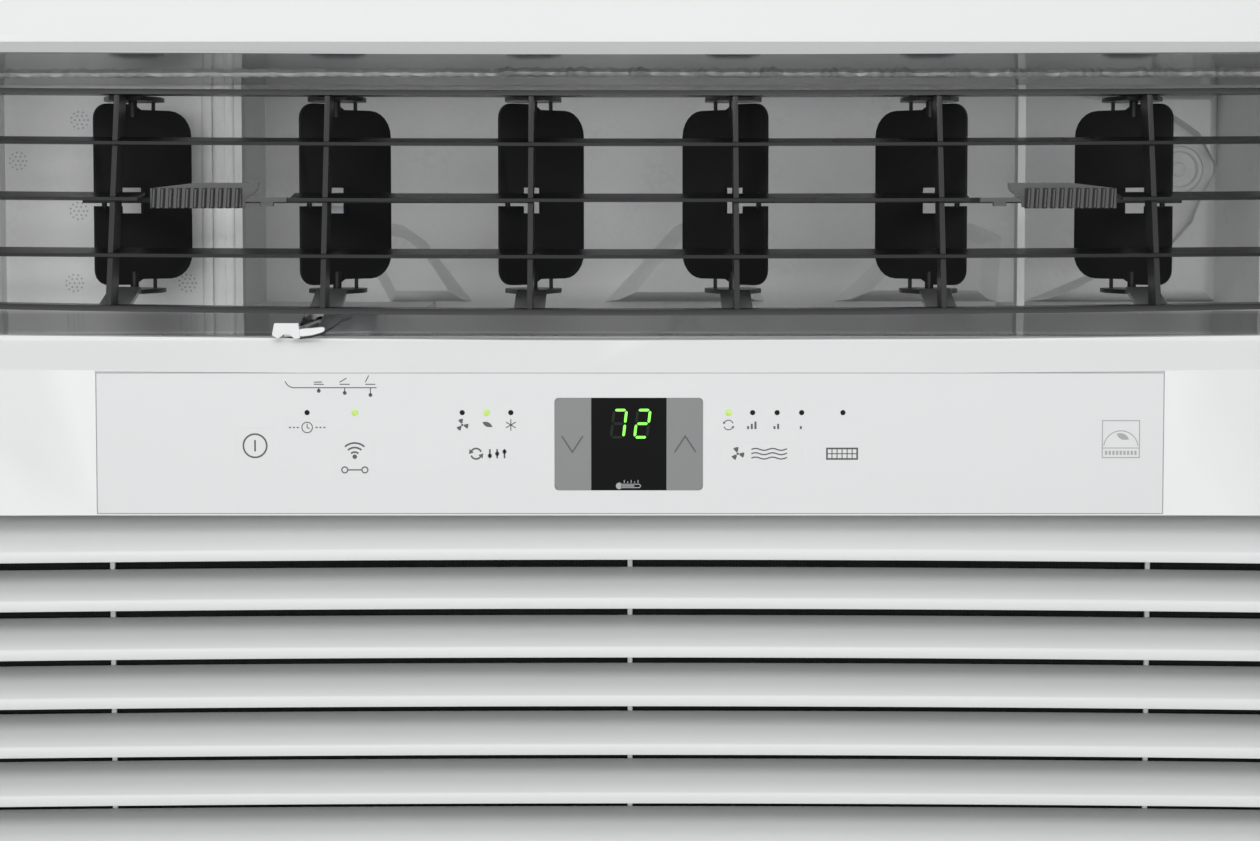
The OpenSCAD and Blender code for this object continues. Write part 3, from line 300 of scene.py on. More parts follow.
class Shape:
    """Vertices and faces gathered from several closed solids."""

    def __init__(self):
        self.verts = []
        self.faces = []

    def add(self, verts, faces):
        start = len(self.verts)
        self.verts += verts
        self.faces += [[start + i for i in face] for face in faces]

    def loft(self, rings):
        """Closed rings of equal length joined into a capped solid."""
        count = len(rings[0])
        verts = [v for ring in rings for v in ring]
        faces = []
        for r in range(len(rings) - 1):
            for i in range(count):
                j = (i + 1) % count
                faces.append([r * count + i, r * count + j, (r + 1) * count + j, (r + 1) * count + i])
        faces.append(list(range(count))[::-1])
        faces.append([(len(rings) - 1) * count + i for i in range(count)])
        self.add(verts, faces)

    def sweep_x(self, profile, xs, lift=lambda x: 0.0):
        """A closed (y, z) profile carried along X, raised by lift(x)."""
        self.loft([[(x, y, z + lift(x)) for y, z in profile] for x in xs])

    def box(self, low, high, round_off=0.0):
        """A box, with its upright edges cut by round_off."""
        x0, y0, z0 = low
        x1, y1, z1 = high
        c = round_off
        outline = [(x0 + c, y0), (x1 - c, y0), (x1, y0 + c), (x1, y1 - c), (x1 - c, y1), (x0 + c, y1),
                   (x0, y1 - c), (x0, y0 + c)] if c else [(x0, y0), (x1, y0), (x1, y1), (x0, y1)]
        self.loft([[(x, y, z) for x, y in outline] for z in (z0, z1)])

    def ink(self, outline, y, depth=0.05 * MM):
        """A flat printed shape of (x, z) points, a hair thick, facing -Y."""
        self.loft([[(x, y, z) for x, z in outline], [(x, y + depth, z) for x, z in outline]])

    def stroke(self, points, width, y, closed=False):
        """A printed line of even width through (x, z) points."""
        pts = [Vector(p) for p in points]
        count = len(pts)
        left, right = [], []
        for i, p in enumerate(pts):
            before = pts[i - 1] if i or closed else None
            after = pts[(i + 1) % count] if i < count - 1 or closed else None
            into = (p - before).normalized() if before is not None else None
            out = (after - p).normalized() if after is not None else None
            along = ((into or out) + (out or into)).normalized()
            side = Vector((-along.y, along.x))
            stretch = 1 / max(0.5, along.dot(out or into))
            left.append(p + side * width / 2 * stretch)
            right.append(p - side * width / 2 * stretch)
        if closed:
            for i in range(count):
                j = (i + 1) % count
                self.ink([left[i], left[j], right[j], right[i]], y)
        else:
            for i in range(count - 1):
                self.ink([left[i], left[i + 1], right[i + 1], right[i]], y)

    def make(self, name, material, body, slot, replaces=(), smooth_angle=35):
        return piece(name, self.verts, self.faces, material, body, replaces, smooth_angle)


def arc_points(x, z, r, start, end, count=12):
    return [(x + r * math.cos(math.radians(start + (end - start) * i / count)),
             z + r * math.sin(math.radians(start + (end - start) * i / count))) for i in range(count + 1)]


def circle_points(x, z, r, count=28):
    return arc_points(x, z, r, 0, 360 - 360 / count, count - 1)


def turns(count):
    """Even angles once round a circle, in radians."""
    return [2 * math.pi * i / count for i in range(count)]


def stations(low, high, count):
    return [low + (high - low) * i / (count - 1) for i in range(count)]


def paint(node, material):
    """One material for a carried CAD node."""
    materials = NODES[node].data.materials
    materials.clear()
    materials.append(material)


def soften(obj, width, segments=2, angle=35):
    """Rounded edges on a carried CAD node, by modifiers alone."""
    attributes = obj.data.attributes
    if "custom_normal" in attributes:
        attributes.remove(attributes["custom_normal"])
    obj.data.shade_smooth()
    weld = obj.modifiers.new("weld", "WELD")
    weld.merge_threshold = 1e-6
    bevel = obj.modifiers.new("bevel", "BEVEL")
    bevel.limit_method = "ANGLE"
    bevel.angle_limit = math.radians(angle)
    bevel.width = width
    bevel.segments = segments
    bevel.use_clamp_overlap = True
    bevel.harden_normals = True


# ---------------------------------------------------------------- camera, light and floor
EYE_DISTANCE = 1.0
EYE_HEIGHT = 0.352
EYE_PITCH_DOWN = 3.0


def build_stage():
    """Camera, four soft lights and a curved floor."""
    scene = bpy.context.scene
    camera = bpy.data.cameras.new("camera")
    camera.sensor_width = 36
    camera.lens = 65.7
    camera.shift_y = -0.07
    camera.dof.use_dof = False
    camera.clip_start = 0.05
    camera.clip_end = 30
    view = bpy.data.objects.new("camera", camera)
    scene.collection.objects.link(view)
    view.location = (0.0, FRONT - EYE_DISTANCE, EYE_HEIGHT)
    view.rotation_euler = (math.radians(90 - EYE_PITCH_DOWN), 0, 0)
    scene.camera = view
    scene.view_settings.view_transform = "Standard"
    scene.view_settings.look = "None"
    scene.view_settings.exposure = 0.0

    world = bpy.data.worlds.new("studio")
    world.use_nodes = True
    background = world.node_tree.nodes["Background"]
    background.inputs["Color"].default_value = (0.97, 0.985, 1.0, 1)
    background.inputs["Strength"].default_value = 0.34
    scene.world = world

    def softbox(name, at, target, size, power):
        light = bpy.data.lights.new(name, "AREA")
        light.shape = "RECTANGLE"
        light.size, light.size_y = size
        light.energy = power
        lamp = bpy.data.objects.new(name, light)
        scene.collection.objects.link(lamp)
        lamp.location = at
        lamp.rotation_euler = (Vector(target) - Vector(at)).to_track_quat("-Z", "Y").to_euler()

    softbox("front", (-0.35, -3.6, 0.75), (0, -0.2, 0.32), (3.2, 1.7), 58)
    softbox("high_front", (0, -2.4, 1.9), (0, -0.25, 0.2), (2.6, 1.0), 32)
    softbox("overhead", (0, -1.1, 2.0), (0, -0.15, 0.2), (2.6, 1.4), 8)
    softbox("fill_back", (0.8, 2.2, 1.5), (0, 0, 0.2), (2.0, 1.4), 22)

    floor = bpy.data.meshes.new("floor")
    reach = 4.0
    steps = 24
    profile = [(-reach, 0.0)] + [(2.2 + 1.0 * math.sin(math.radians(a)), 1.0 - math.cos(math.radians(a)))
                                 for a in [90 * i / steps for i in range(steps + 1)]] + [(3.2, 3.5)]
    verts = [(x, y, z) for x in (-reach, reach) for y, z in profile]
    count = len(profile)
    faces = [[i, i + 1, count + i + 1, count + i] for i in range(count - 1)]
    floor.from_pydata(verts, [], faces)
    floor.shade_smooth()
    floor.materials.append(surface("floor_pale", (0.80, 0.80, 0.80), 0.7, grain=60, bump=0.01, tint=0.01,
                                   edge_wear_and_highlight=0.0))
    obj = bpy.data.objects.new("floor", floor)
    scene.collection.objects.link(obj)


# ---------------------------------------------------------------- front bezel and louver cassette
def clean_copy(node, weld):
    """A welded copy of a CAD mesh, open for editing."""
    mesh = NODES[node].data.copy()
    if "custom_normal" in mesh.attributes:
        mesh.attributes.remove(mesh.attributes["custom_normal"])
    bm = bmesh.new()
    bm.from_mesh(mesh)
    bmesh.ops.remove_doubles(bm, verts=bm.verts, dist=weld)
    return mesh, bm


def finish_copy(mesh, bm, name, xs, lift, material, body, node, bevel_width, angle):
    """Flat faces joined and cut again at each x, raised by lift, with softened edges."""
    bmesh.ops.dissolve_limit(bm, angle_limit=math.radians(0.5), verts=bm.verts, edges=bm.edges)
    for x in xs:
        bmesh.ops.bisect_plane(bm, geom=bm.verts[:] + bm.edges[:] + bm.faces[:], plane_co=(x, 0, 0),
                               plane_no=(1, 0, 0), dist=1e-7)
    for v in bm.verts:
        v.co.z += lift(v.co)
    mesh.materials.clear()
    mesh.materials.append(material)
    bm.to_mesh(mesh)
    bm.free()
    mesh.shade_smooth()
    mesh.set_sharp_from_angle(angle=math.radians(30))
    obj = bpy.data.objects.new(name, mesh)
    bpy.context.scene.collection.objects.link(obj)
    bevel = obj.modifiers.new("bevel", "BEVEL")
    bevel.limit_method = "ANGLE"
    bevel.angle_limit = math.radians(angle)
    bevel.width = bevel_width
    bevel.segments = 3
    bevel.harden_normals = True
    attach(obj, body)
    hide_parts(node)


SEAM_X = 312 * MM
SEAM_Z = 218.41 * MM
# Distance from the middle at which arched and bowed pieces reach their stated rise
BOW_HALF = 275 * MM


def build_bezel():
    """The bezel as one moulding, with the ledge's crease drawn up towards both ends."""
    mesh, bm = clean_copy("front_bezel", 0.04 * MM)
    near = 0.03 * MM
    seam_faces = []
    for face in bm.faces:
        at = [v.co for v in face.verts]
        on_x = any(all(abs(c.x - s * SEAM_X) < near for c in at) for s in (-1, 1))
        on_z = all(abs(c.z - SEAM_Z) < near for c in at)
        if on_x or on_z:
            seam_faces.append(face)
    bmesh.ops.delete(bm, geom=seam_faces, context="FACES_ONLY")
    crease = 282.4 * MM

    def lift(at):
        if abs(at.z - crease) < 1.2 * MM and at.y < FRONT + 5 * MM:
            return -0.5 * MM + 1.9 * MM * (at.x / MOUTH_HALF) ** 2
        return 0.0

    finish_copy(mesh, bm, "bezel_shell", stations(-300 * MM, 300 * MM, 16), lift, BEZEL_WHITE, "cabinet",
                "front_bezel", 0.7 * MM, 12)


def build_cassette():
    """The cassette with its rails and blades bowed a little up at both ends."""
    mesh, bm = clean_copy("louver_cassette", 0.001 * MM)
    lug_front = -229.96 * MM
    bottom_rail = 309 * MM
    bow_fades_over = 20 * MM

    def lift(at):
        if at.y > lug_front:
            return 0.0
        level = min(1.0, max(0.0, (at.z - bottom_rail) / bow_fades_over))
        return (2.6 - 1.6 * level) * MM * (at.x / BOW_HALF) ** 2

    bmesh.ops.dissolve_limit(bm, angle_limit=math.radians(0.5), verts=bm.verts, edges=bm.edges)
    # the small vane feet behind the bottom rail take the second material, the recess's lighter grey, as a
    # painted highlight for the light falling on them
    foot_low, foot_high = 306.5 * MM, 316.3 * MM
    foot_front, foot_rear = -254.2 * MM, -229.9 * MM
    foot_reach, foot_half, foot_area = 250 * MM, 7.5 * MM, 450e-6
    for face in bm.faces:
        at = face.calc_center_median()
        inside = foot_front < at.y < foot_rear and foot_low < at.z < foot_high and abs(at.x) < foot_reach
        small = face.calc_area() < foot_area and max(abs(v.co.x - at.x) for v in face.verts) < foot_half
        face.material_index = int(inside and small)
    finish_copy(mesh, bm, "cassette_frame", stations(-300 * MM, 300 * MM, 25), lift, LOUVER_DARK,
                "cassette", "louver_cassette", 0.35 * MM, 35)
    # the second material: the lighter grey painted on the vane feet as their highlight
    bpy.data.objects["cassette_frame"].data.materials.append(HOUSING_DARK)


# ---------------------------------------------------------------- intake grille
SLAT_PITCH = 21.6 * MM
SLAT_COUNT = 9
SLAT_TOP = 199.8 * MM
RIB_X = (-231 * MM, 0.0, 231 * MM)
RIB_HALF = 1.1 * MM


def arch(x):
    """Drop of the slats towards their ends."""
    return -1.65 * MM * (x / BOW_HALF) ** 2


def slat_profile(z, rise):
    """Section of a slat: rounded lip, long slope up to its rise, thin wall."""
    lip = 4.8
    run = 18.6
    slope = rise / run
    front = [(1.8, 0.15), (1.6, 0.0), (0.55, 0.0), (0.2, 0.12), (0.0, 0.5), (0.0, lip - 0.55),
             (0.12, lip - 0.18)]
    top = [(y, lip + slope * y) for y in (0.55, 6.5, 12.5, run - 0.3)]
    rear = [(run + 0.2, lip + rise - 0.05), (run + 0.75, lip + rise - 1.1), (run + 0.6, lip + rise - 1.6)]
    under = [(10.5, lip - 1 + slope * 8.6), (2.1, lip - 0.8), (1.8, lip - 1.1)]
    return [(FRONT + y * MM, z + h * MM) for y, h in front + top + rear + under]


def build_door():
    """The grille: arched slats, upright ribs, side frames with their pins, top and bottom bars."""
    shape = Shape()
    pin_z = 24 * MM
    pin_r = 1.5 * MM
    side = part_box("intake_grille")[1].x - 4.8 * MM
    half = side - 4.06 * MM
    xs = stations(-half, half, 45)
    for k in range(SLAT_COUNT):
        rise = 13.6 if k == 0 else 10.9
        shape.sweep_x(slat_profile(SLAT_TOP - k * SLAT_PITCH, rise), xs, arch)
    back = FRONT + 19.42 * MM
    for x in RIB_X:
        shape.box((x - RIB_HALF, back, DOOR_LOW.z), (x + RIB_HALF, back + 1.78 * MM, DOOR_HIGH.z - 4.52 * MM),
                  0.25 * MM)
    low, high = DOOR_LOW.z, DOOR_HIGH.z
    frame_side = [(0.9, low), (0.5, low + 0.4 * MM), (0.5, high - 0.4 * MM), (0.9, high), (12.8, high),
                  (24.7, high - 1.4 * MM), (25, high - 1.8 * MM), (25, low + 0.4 * MM), (24.6, low)]
    frame_side = [(FRONT + y * MM, z) for y, z in frame_side]
    for s in (-1, 1):
        shape.sweep_x(frame_side, sorted([s * side, s * (side - 4 * MM)]))
        ring = [(FRONT + 3.5 * MM + pin_r * math.cos(a), pin_z + pin_r * math.sin(a))
                for a in turns(20)]
        shape.sweep_x(ring, sorted([s * side, s * (side + 4.8 * MM)]))
    shape.box((-half, back, high - 4.5 * MM), (half, back + 1.78 * MM, high - 1.2 * MM), 0.3 * MM)
    shape.box((-half, FRONT + 0.4 * MM, low), (half, FRONT + 7 * MM, low + 2.4 * MM), 0.4 * MM)
    shape.make("grille_door_shell", BEZEL_WHITE, "grille_door", "bezel_plastic", ("intake_grille",), 28)


# ---------------------------------------------------------------- thumb tabs
def build_tabs():
    """Tabs with rounded ridges, each on its slanted back plate."""
    ridges = 11
    for name, body, s in (("left_tab", "left_sweep", -1), ("right_tab", "right_sweep", 1)):
        low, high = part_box(name)
        inner, outer = (high.x, low.x) if s < 0 else (low.x, high.x)
        start = inner + s * 20 * MM
        pitch = (outer - start) / ridges
        shape = Shape()
        front, mid, rear = -265.9 * MM, -264.2 * MM, -260.05 * MM
        z0, z1 = 353.6 * MM, 362.4 * MM
        shape.box((min(start, outer), mid, z0), (max(start, outer), rear, z1), 0.3 * MM)
        for i in range(ridges):
            a, b = start + pitch * (i + 0.1), start + pitch * (i + 0.72)
            lean = -0.55 * MM
            across = [(a, mid + 0.1 * MM), (a + (b - a) * 0.1, front + 0.5 * MM), (a + (b - a) * 0.35, front),
                      (a + (b - a) * 0.65, front), (a + (b - a) * 0.9, front + 0.5 * MM), (b, mid + 0.1 * MM)]
            rings = []
            for z, inset, shift in ((z0 - 0.1 * MM, 0.5 * MM, lean), (z0 + 0.3 * MM, 0, lean * 0.9),
                                    (z1 - 0.3 * MM, 0, 0), (z1 + 0.1 * MM, 0.5 * MM, 0)):
                rings.append([(x + shift, min(y + inset, mid + 0.1 * MM), z) for x, y in across])
            shape.loft(rings)
        # back plate with its slanted inner end
        plate = [(start - s * 7.5 * MM, 364.9), (start + s * 20 * MM, 364.9), (outer - s * 1 * MM, 362.6),
                 (outer - s * 1 * MM, 354), (start - s * 1 * MM, 354), (start - s * 1.5 * MM, 357.5),
                 (start - s * 6.8 * MM, 361.6)]
        shape.loft([[(x, y, z * MM) for x, z in plate] for y in (-262.6 * MM, -260.1 * MM)])
        # tail that dips under the blade, with its small catch
        for x0, x1, z_low, z_high, y in ((start - s * 20 * MM, start, 356.4, 358.3, -262.3),
                                         (start - s * 14 * MM, start - s * 8 * MM, 354.5, 356.5, -261.9)):
            shape.box((min(x0, x1), y * MM, z_low * MM), (max(x0, x1), -260.1 * MM, z_high * MM), 0.25 * MM)
        shape.make(name + "_grip", TAB_GREY, body, "tab_plastic", (name,), 40)


# ---------------------------------------------------------------- printed marks
THIN = 0.42 * MM
FINE = 0.55 * MM
BOLD = 0.75 * MM


def fan_mark(shape, x, z, r, y):
    """Three swept blades round a hub."""
    for turn in (90, 210, 330):
        tip = arc_points(x, z, r, turn - 8, turn + 42, 6)
        root = arc_points(x, z, r * 0.28, turn + 42, turn - 8, 3)
        shape.ink(tip + root, y)
    shape.ink(circle_points(x, z, r * 0.2, 12), y)


def snow_mark(shape, x, z, r, y):
    for turn in (90, 30, -30):
        dx, dz = r * math.cos(math.radians(turn)), r * math.sin(math.radians(turn))
        shape.stroke([(x - dx, z - dz), (x + dx, z + dz)], THIN, y)


def leaf_mark(shape, x, z, r, y):
    upper = arc_points(x - r * 0.2, z - r * 0.55, r * 1.15, 15, 105, 8)
    lower = arc_points(x - r * 0.2 + r * 0.62, z + r * 0.85, r * 1.15, 195, 255, 6)
    shape.ink(upper + lower, y)


def rising_bars(shape, x, z, count, y, pitch=1.6 * MM):
    for i in range(count):
        left = x + (i - count / 2) * pitch
        height = (1.3 + 1.0 * i) * MM
        base = z - 1.8 * MM
        right = left + 0.9 * MM
        shape.ink([(left, base), (right, base), (right, base + height), (left, base + height)], y)


def turning_mark(shape, x, z, r, y, width):
    """Two arrows that chase each other round a circle."""
    for start in (20, 200):
        line = arc_points(x, z, r, start, start + 125, 12)
        shape.stroke(line, width, y)
        end = Vector(line[-1])
        along = (end - Vector(line[-2])).normalized()
        side = Vector((-along.y, along.x))
        shape.ink([end + side * width * 1.6, end - side * width * 1.6, end + along * width * 2.6], y)


def lamp_places():
    """Middles of the lamps, from the clusters of the lens node's vertices."""
    xs = sorted(v.co.x for v in NODES["indicator_lenses"].data.vertices)
    groups = [[xs[0]]]
    for x in xs[1:]:
        if x - groups[-1][-1] > 3 * MM:
            groups.append([])
        groups[-1].append(x)
    return [(min(g) + max(g)) / 2 for g in groups]


def build_marks():
    """Plain symbols on the overlay and the keys, and the line round the overlay."""
    y = FRONT - 0.04 * MM
    lamps = lamp_places()
    lamp_z = centre("indicator_lenses").z
    label_z = lamp_z - 5.4 * MM

    film = Shape()
    # vent scale: a line with three marks of growing length, and the flap drawn shut, ajar and open
    scale_z = 275.4 * MM
    left, right = -151 * MM, -110.5 * MM
    bend = arc_points(left + 4.6 * MM, scale_z + 4.2 * MM, 4.2 * MM, 200, 270, 8)
    film.stroke(bend + [(right, scale_z)], THIN, y)
    for i, x in enumerate((-135.7 * MM, -124.4 * MM, -113.2 * MM)):
        end = scale_z - (1.4 + 0.9 * i) * MM
        film.stroke([(x, scale_z), (x, end)], THIN, y)
        film.ink(circle_points(x, end, 0.85 * MM, 16), y)
        film.stroke([(x - 2.2 * MM, scale_z + 1.5 * MM), (x + 2.2 * MM, scale_z + 1.5 * MM)], THIN, y)
        open_to = math.radians(2 + 32 * i)
        tip = (x - 2.2 * MM + 3.6 * MM * math.cos(open_to), scale_z + (2.4 + 3.2 * math.sin(open_to)) * MM)
        film.stroke([(x - 2.2 * MM, scale_z + 2.4 * MM), tip], THIN, y)
    # marks under the lamps: running modes and fan speeds
    fan_mark(film, lamps[2], label_z, 2.7 * MM, y)
    leaf_mark(film, lamps[3], label_z - 0.2 * MM, 2.7 * MM, y)
    snow_mark(film, lamps[4], label_z, 2.5 * MM, y)
    turning_mark(film, lamps[5], label_z, 2.1 * MM, y, THIN)
    for place, bars in ((6, 3), (7, 2), (8, 1)):
        rising_bars(film, lamps[place], label_z, bars, y)
    film.make("overlay_marks", INK, "cabinet", "key_grey")

    edge = Shape()
    inset = 0.2 * MM
    x0, x1 = OVERLAY_LOW.x + inset, OVERLAY_HIGH.x - inset
    z0, z1 = OVERLAY_LOW.z + inset, OVERLAY_HIGH.z - inset
    edge.stroke([(x0, z0), (x1, z0), (x1, z1), (x0, z1)], 0.34 * MM, y, closed=True)
    # plain leaf badge at the right
    badge_x, badge_z, badge = 214.3 * MM, 252.9 * MM, 8.1 * MM
    frame_line = [(badge_x - badge, badge_z - badge), (badge_x + badge, badge_z - badge),
                  (badge_x + badge, badge_z + badge), (badge_x - badge, badge_z + badge)]
    edge.stroke(frame_line, 0.45 * MM, y, closed=True)
    edge.stroke(arc_points(badge_x, badge_z - badge + 4.2 * MM, badge * 0.93, 8, 172, 20), 0.45 * MM, y)
    sill = badge_z - badge + 4.2 * MM
    edge.stroke([(badge_x - badge, sill), (badge_x + badge, sill)], 0.4 * MM, y)
    leaf_mark(edge, badge_x + 0.4 * MM, badge_z + 0.6 * MM, 3.4 * MM, y)
    for i in range(9):
        x = badge_x + (i - 4) * 1.6 * MM
        edge.ink([(x - 0.5 * MM, badge_z - badge + 1.2 * MM), (x + 0.5 * MM, badge_z - badge + 1.2 * MM),
                  (x + 0.5 * MM, badge_z - badge + 3.0 * MM), (x - 0.5 * MM, badge_z - badge + 3.0 * MM)], y)
    edge.make("overlay_lines", INK_PALE, "cabinet", "key_grey")

    def key_mark(key, draw):
        mark = Shape()
        at = centre(key)
        draw(mark, at.x, at.z)
        mark.make(key + "_mark", INK, key + "_body", "key_grey")

    def power(mark, x, z):
        mark.stroke(circle_points(x, z, 5.1 * MM, 40), BOLD, y, closed=True)
        mark.stroke([(x, z - 2.5 * MM), (x, z + 2.5 * MM)], BOLD, y)

    def clock(mark, x, z):
        mark.stroke(circle_points(x, z, 2.3 * MM, 24), THIN, y, closed=True)
        mark.stroke([(x, z + 1.5 * MM), (x, z), (x + 1.1 * MM, z - 0.5 * MM)], THIN, y)
        for s in (-1, 1):
            for i in range(3):
                end = x + s * (4.1 + 1.7 * i) * MM
                mark.stroke([(end - 0.45 * MM, z), (end + 0.45 * MM, z)], FINE, y)

    def waves(mark, x, z):
        base = z - 1.2 * MM
        for r in (2.4, 4.4, 6.4):
            mark.stroke(arc_points(x, base, r * MM, 48, 132, 12), BOLD, y)
        mark.ink(circle_points(x, base + 0.4 * MM, 1.0 * MM, 16), y)
        for s in (-1, 1):
            mark.stroke(circle_points(x + s * 4.4 * MM, z - 6.6 * MM, 1.3 * MM, 18), FINE, y, closed=True)
        mark.stroke([(x - 3.0 * MM, z - 6.6 * MM), (x + 3.0 * MM, z - 6.6 * MM)], FINE, y)

    def modes(mark, x, z):
        turning_mark(mark, x - 5.4 * MM, z, 2.3 * MM, y, BOLD)
        for i in range(3):
            at = x + (0.6 + 3.2 * i) * MM
            mark.stroke([(at, z - 2.0 * MM), (at, z + 2.0 * MM)], BOLD, y)
            mark.ink(circle_points(at, z + (-0.9 + 0.9 * i) * MM, 0.95 * MM, 14), y)

    def fan(mark, x, z):
        fan_mark(mark, x - 10.5 * MM, z, 2.9 * MM, y)
        for i in range(3):
            level = z + (1.9 - 1.9 * i) * MM
            wave = [(x + (-4.5 + 1.3 * k) * MM, level + 0.45 * MM * math.sin(k * 1.1)) for k in range(13)]
            mark.stroke(wave, FINE, y)

    def grid(mark, x, z):
        w, h = 6.6 * MM, 2.3 * MM
        mark.stroke([(x - w, z - h), (x + w, z - h), (x + w, z + h), (x - w, z + h)], BOLD, y, closed=True)
        for i in range(1, 6):
            at = x - w + 2 * w * i / 6
            mark.stroke([(at, z - h), (at, z + h)], THIN, y)
        mark.stroke([(x - w, z), (x + w, z)], THIN, y)

    def chevron(turn, aside):
        def draw(mark, x, z):
            x += aside * MM
            mark.stroke([(x - 4.6 * MM, z - turn * 3.5 * MM), (x, z + turn * 3.5 * MM),
                         (x + 4.6 * MM, z - turn * 3.5 * MM)], 0.7 * MM, y)
        return draw

    drawings = {"power_key": power, "scheduler_key": clock, "connect_key": waves, "mode_key": modes,
                "fan_speed_key": fan, "filter_key": grid, "temp_down_key": chevron(-1, 0.4),
                "temp_up_key": chevron(1, -0.4)}
    for key, draw in drawings.items():
        key_mark(key, draw)


def build_lamps():
    """Domed lenses; three are lit and show a wider soft spot through the film."""
    lamp_z = centre("indicator_lenses").z
    dark, lit = Shape(), Shape()
    for i, x in enumerate(lamp_places()):
        glows = i in (1, 3, 5)
        wide = (1.5 if glows else 1.08) * MM
        rise = (0.12 if glows else 0.05) * MM
        rings = [[(px, FRONT + 7.4 * MM, pz) for px, pz in circle_points(x, lamp_z, 1.08 * MM, 20)],
                 [(px, FRONT - 0.01 * MM, pz) for px, pz in circle_points(x, lamp_z, 1.08 * MM, 20)]]
        for step in range(5):
            t = step / 4 * math.pi / 2 * 0.92
            rings.append([(px, FRONT - 0.02 * MM - rise * math.sin(t), pz)
                          for px, pz in circle_points(x, lamp_z, wide * math.cos(t), 20)])
        (lit if glows else dark).loft(rings)
    dark.make("lamps_dark", LAMP_DARK, "cabinet", "lamp_lens", ("indicator_lenses",), 60)
    lit.make("lamps_lit", LAMP_GREEN, "cabinet", "lamp_lens", (), 60)


# ---------------------------------------------------------------- key caps
def rounded_outline(low_x, high_x, low_z, high_z, left_r, right_r):
    """Counter-clockwise outline with its own corner radius at each side."""
    return (arc_points(high_x - right_r, high_z - right_r, right_r, 0, 90, 6)
            + arc_points(low_x + left_r, high_z - left_r, left_r, 90, 180, 6)
            + arc_points(low_x + left_r, low_z + left_r, left_r, 180, 270, 6)
            + arc_points(high_x - right_r, low_z + right_r, right_r, 270, 360, 6))


def build_keys():
    """Caps level with the overlay, the temperature keys square beside the display."""
    film_gap = 0.012 * MM
    flange = 1 * MM
    for key in ("power_key", "scheduler_key", "connect_key", "mode_key", "fan_speed_key", "filter_key",
                "temp_down_key", "temp_up_key"):
        low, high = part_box(key)
        x0, x1, z0, z1 = low.x + flange, high.x - flange, low.z + flange, high.z - flange
        left_r = right_r = 2 * MM
        material, slot, front = OVERLAY_GREY, "overlay_film", FRONT
        if key == "temp_down_key":
            x1, left_r, right_r = WINDOW_LOW.x + 0.02 * MM, 2.6 * MM, 0.05 * MM
        elif key == "temp_up_key":
            x0, left_r, right_r = WINDOW_HIGH.x - 0.02 * MM, 0.05 * MM, 2.6 * MM
        if key.startswith("temp"):
            material, slot, front = KEY_GREY, "key_grey", FRONT - 0.03 * MM
        shape = Shape()
        outline = rounded_outline(x0 + film_gap, x1 - film_gap, z0 + film_gap, z1 - film_gap, left_r, right_r)
        shape.loft([[(x, y, z) for x, z in outline] for y in (front, FRONT + 1.3 * MM)])
        at = centre(key)
        stem = circle_points(at.x, at.z, 2 * MM, 24)
        shape.loft([[(x, y, z) for x, z in stem] for y in (FRONT + 1.2 * MM, high.y)])
        shape.make(key + "_cap", material, key + "_body", slot, (key,), 40)


# ---------------------------------------------------------------- seven-segment display
SEGMENTS = {"7": "abc", "2": "abged"}


def segment_outlines(x, z, width, height, thick, slant):
    """Outlines of the seven bars of a digit, by letter."""
    half = height / 2
    gap = thick * 0.28
    bars = {
        "a": ((0, height), (width, height)), "g": ((0, half), (width, half)), "d": ((0, 0), (width, 0)),
        "f": ((0, half), (0, height)), "b": ((width, half), (width, height)),
        "e": ((0, 0), (0, half)), "c": ((width, 0), (width, half)),
    }
    outlines = {}
    for letter, (a, b) in bars.items():
        a, b = Vector(a), Vector(b)
        along = (b - a).normalized()
        side = Vector((-along.y, along.x)) * thick / 2
        a, b = a + along * gap, b - along * gap
        tip = along * thick / 2
        shape = [a, a + tip + side, b - tip + side, b, b - tip - side, a + tip - side]
        outlines[letter] = [(x + p.x + p.y * slant, z + p.y) for p in shape]
    return outlines


def build_display():
    """Two slanted digits, their unlit bars and a plain thermometer mark."""
    y = WINDOW_LOW.y - 0.04 * MM
    lit, unlit = Shape(), Shape()
    for digit, x in (("7", -8.3 * MM), ("2", 2.0 * MM)):
        outlines = segment_outlines(x, 253.7 * MM, 5.4 * MM, 11.9 * MM, 1.15 * MM, 0.12)
        for letter, outline in outlines.items():
            (lit if letter in SEGMENTS[digit] else unlit).ink(outline, y, 0.04 * MM)
    lit.make("digits_lit", SEGMENT_GREEN, "cabinet", "lamp_lens")
    unlit.make("digits_unlit", SEGMENT_OFF, "cabinet", "display_black")
    mark = Shape()
    x, z = centre("display_window").x, WINDOW_LOW.z + 1.9 * MM
    mark.ink(circle_points(x - 4.2 * MM, z, 1.45 * MM, 20), y)
    mark.stroke([(x - 3.4 * MM, z + 0.75 * MM), (x + 4.6 * MM, z + 0.75 * MM), (x + 5.2 * MM, z),
                 (x + 4.6 * MM, z - 0.75 * MM), (x - 3.4 * MM, z - 0.75 * MM)], 0.34 * MM, y)
    mark.stroke([(x - 3.4 * MM, z), (x + 2.4 * MM, z)], 0.5 * MM, y)
    for i in range(5):
        at = x + (-2.0 + 1.5 * i) * MM
        mark.stroke([(at, z + 1.3 * MM), (at, z + (2.6 if i % 2 == 0 else 2.0) * MM)], 0.34 * MM, y)
    mark.make("display_mark", INK_PALE, "cabinet", "key_grey")


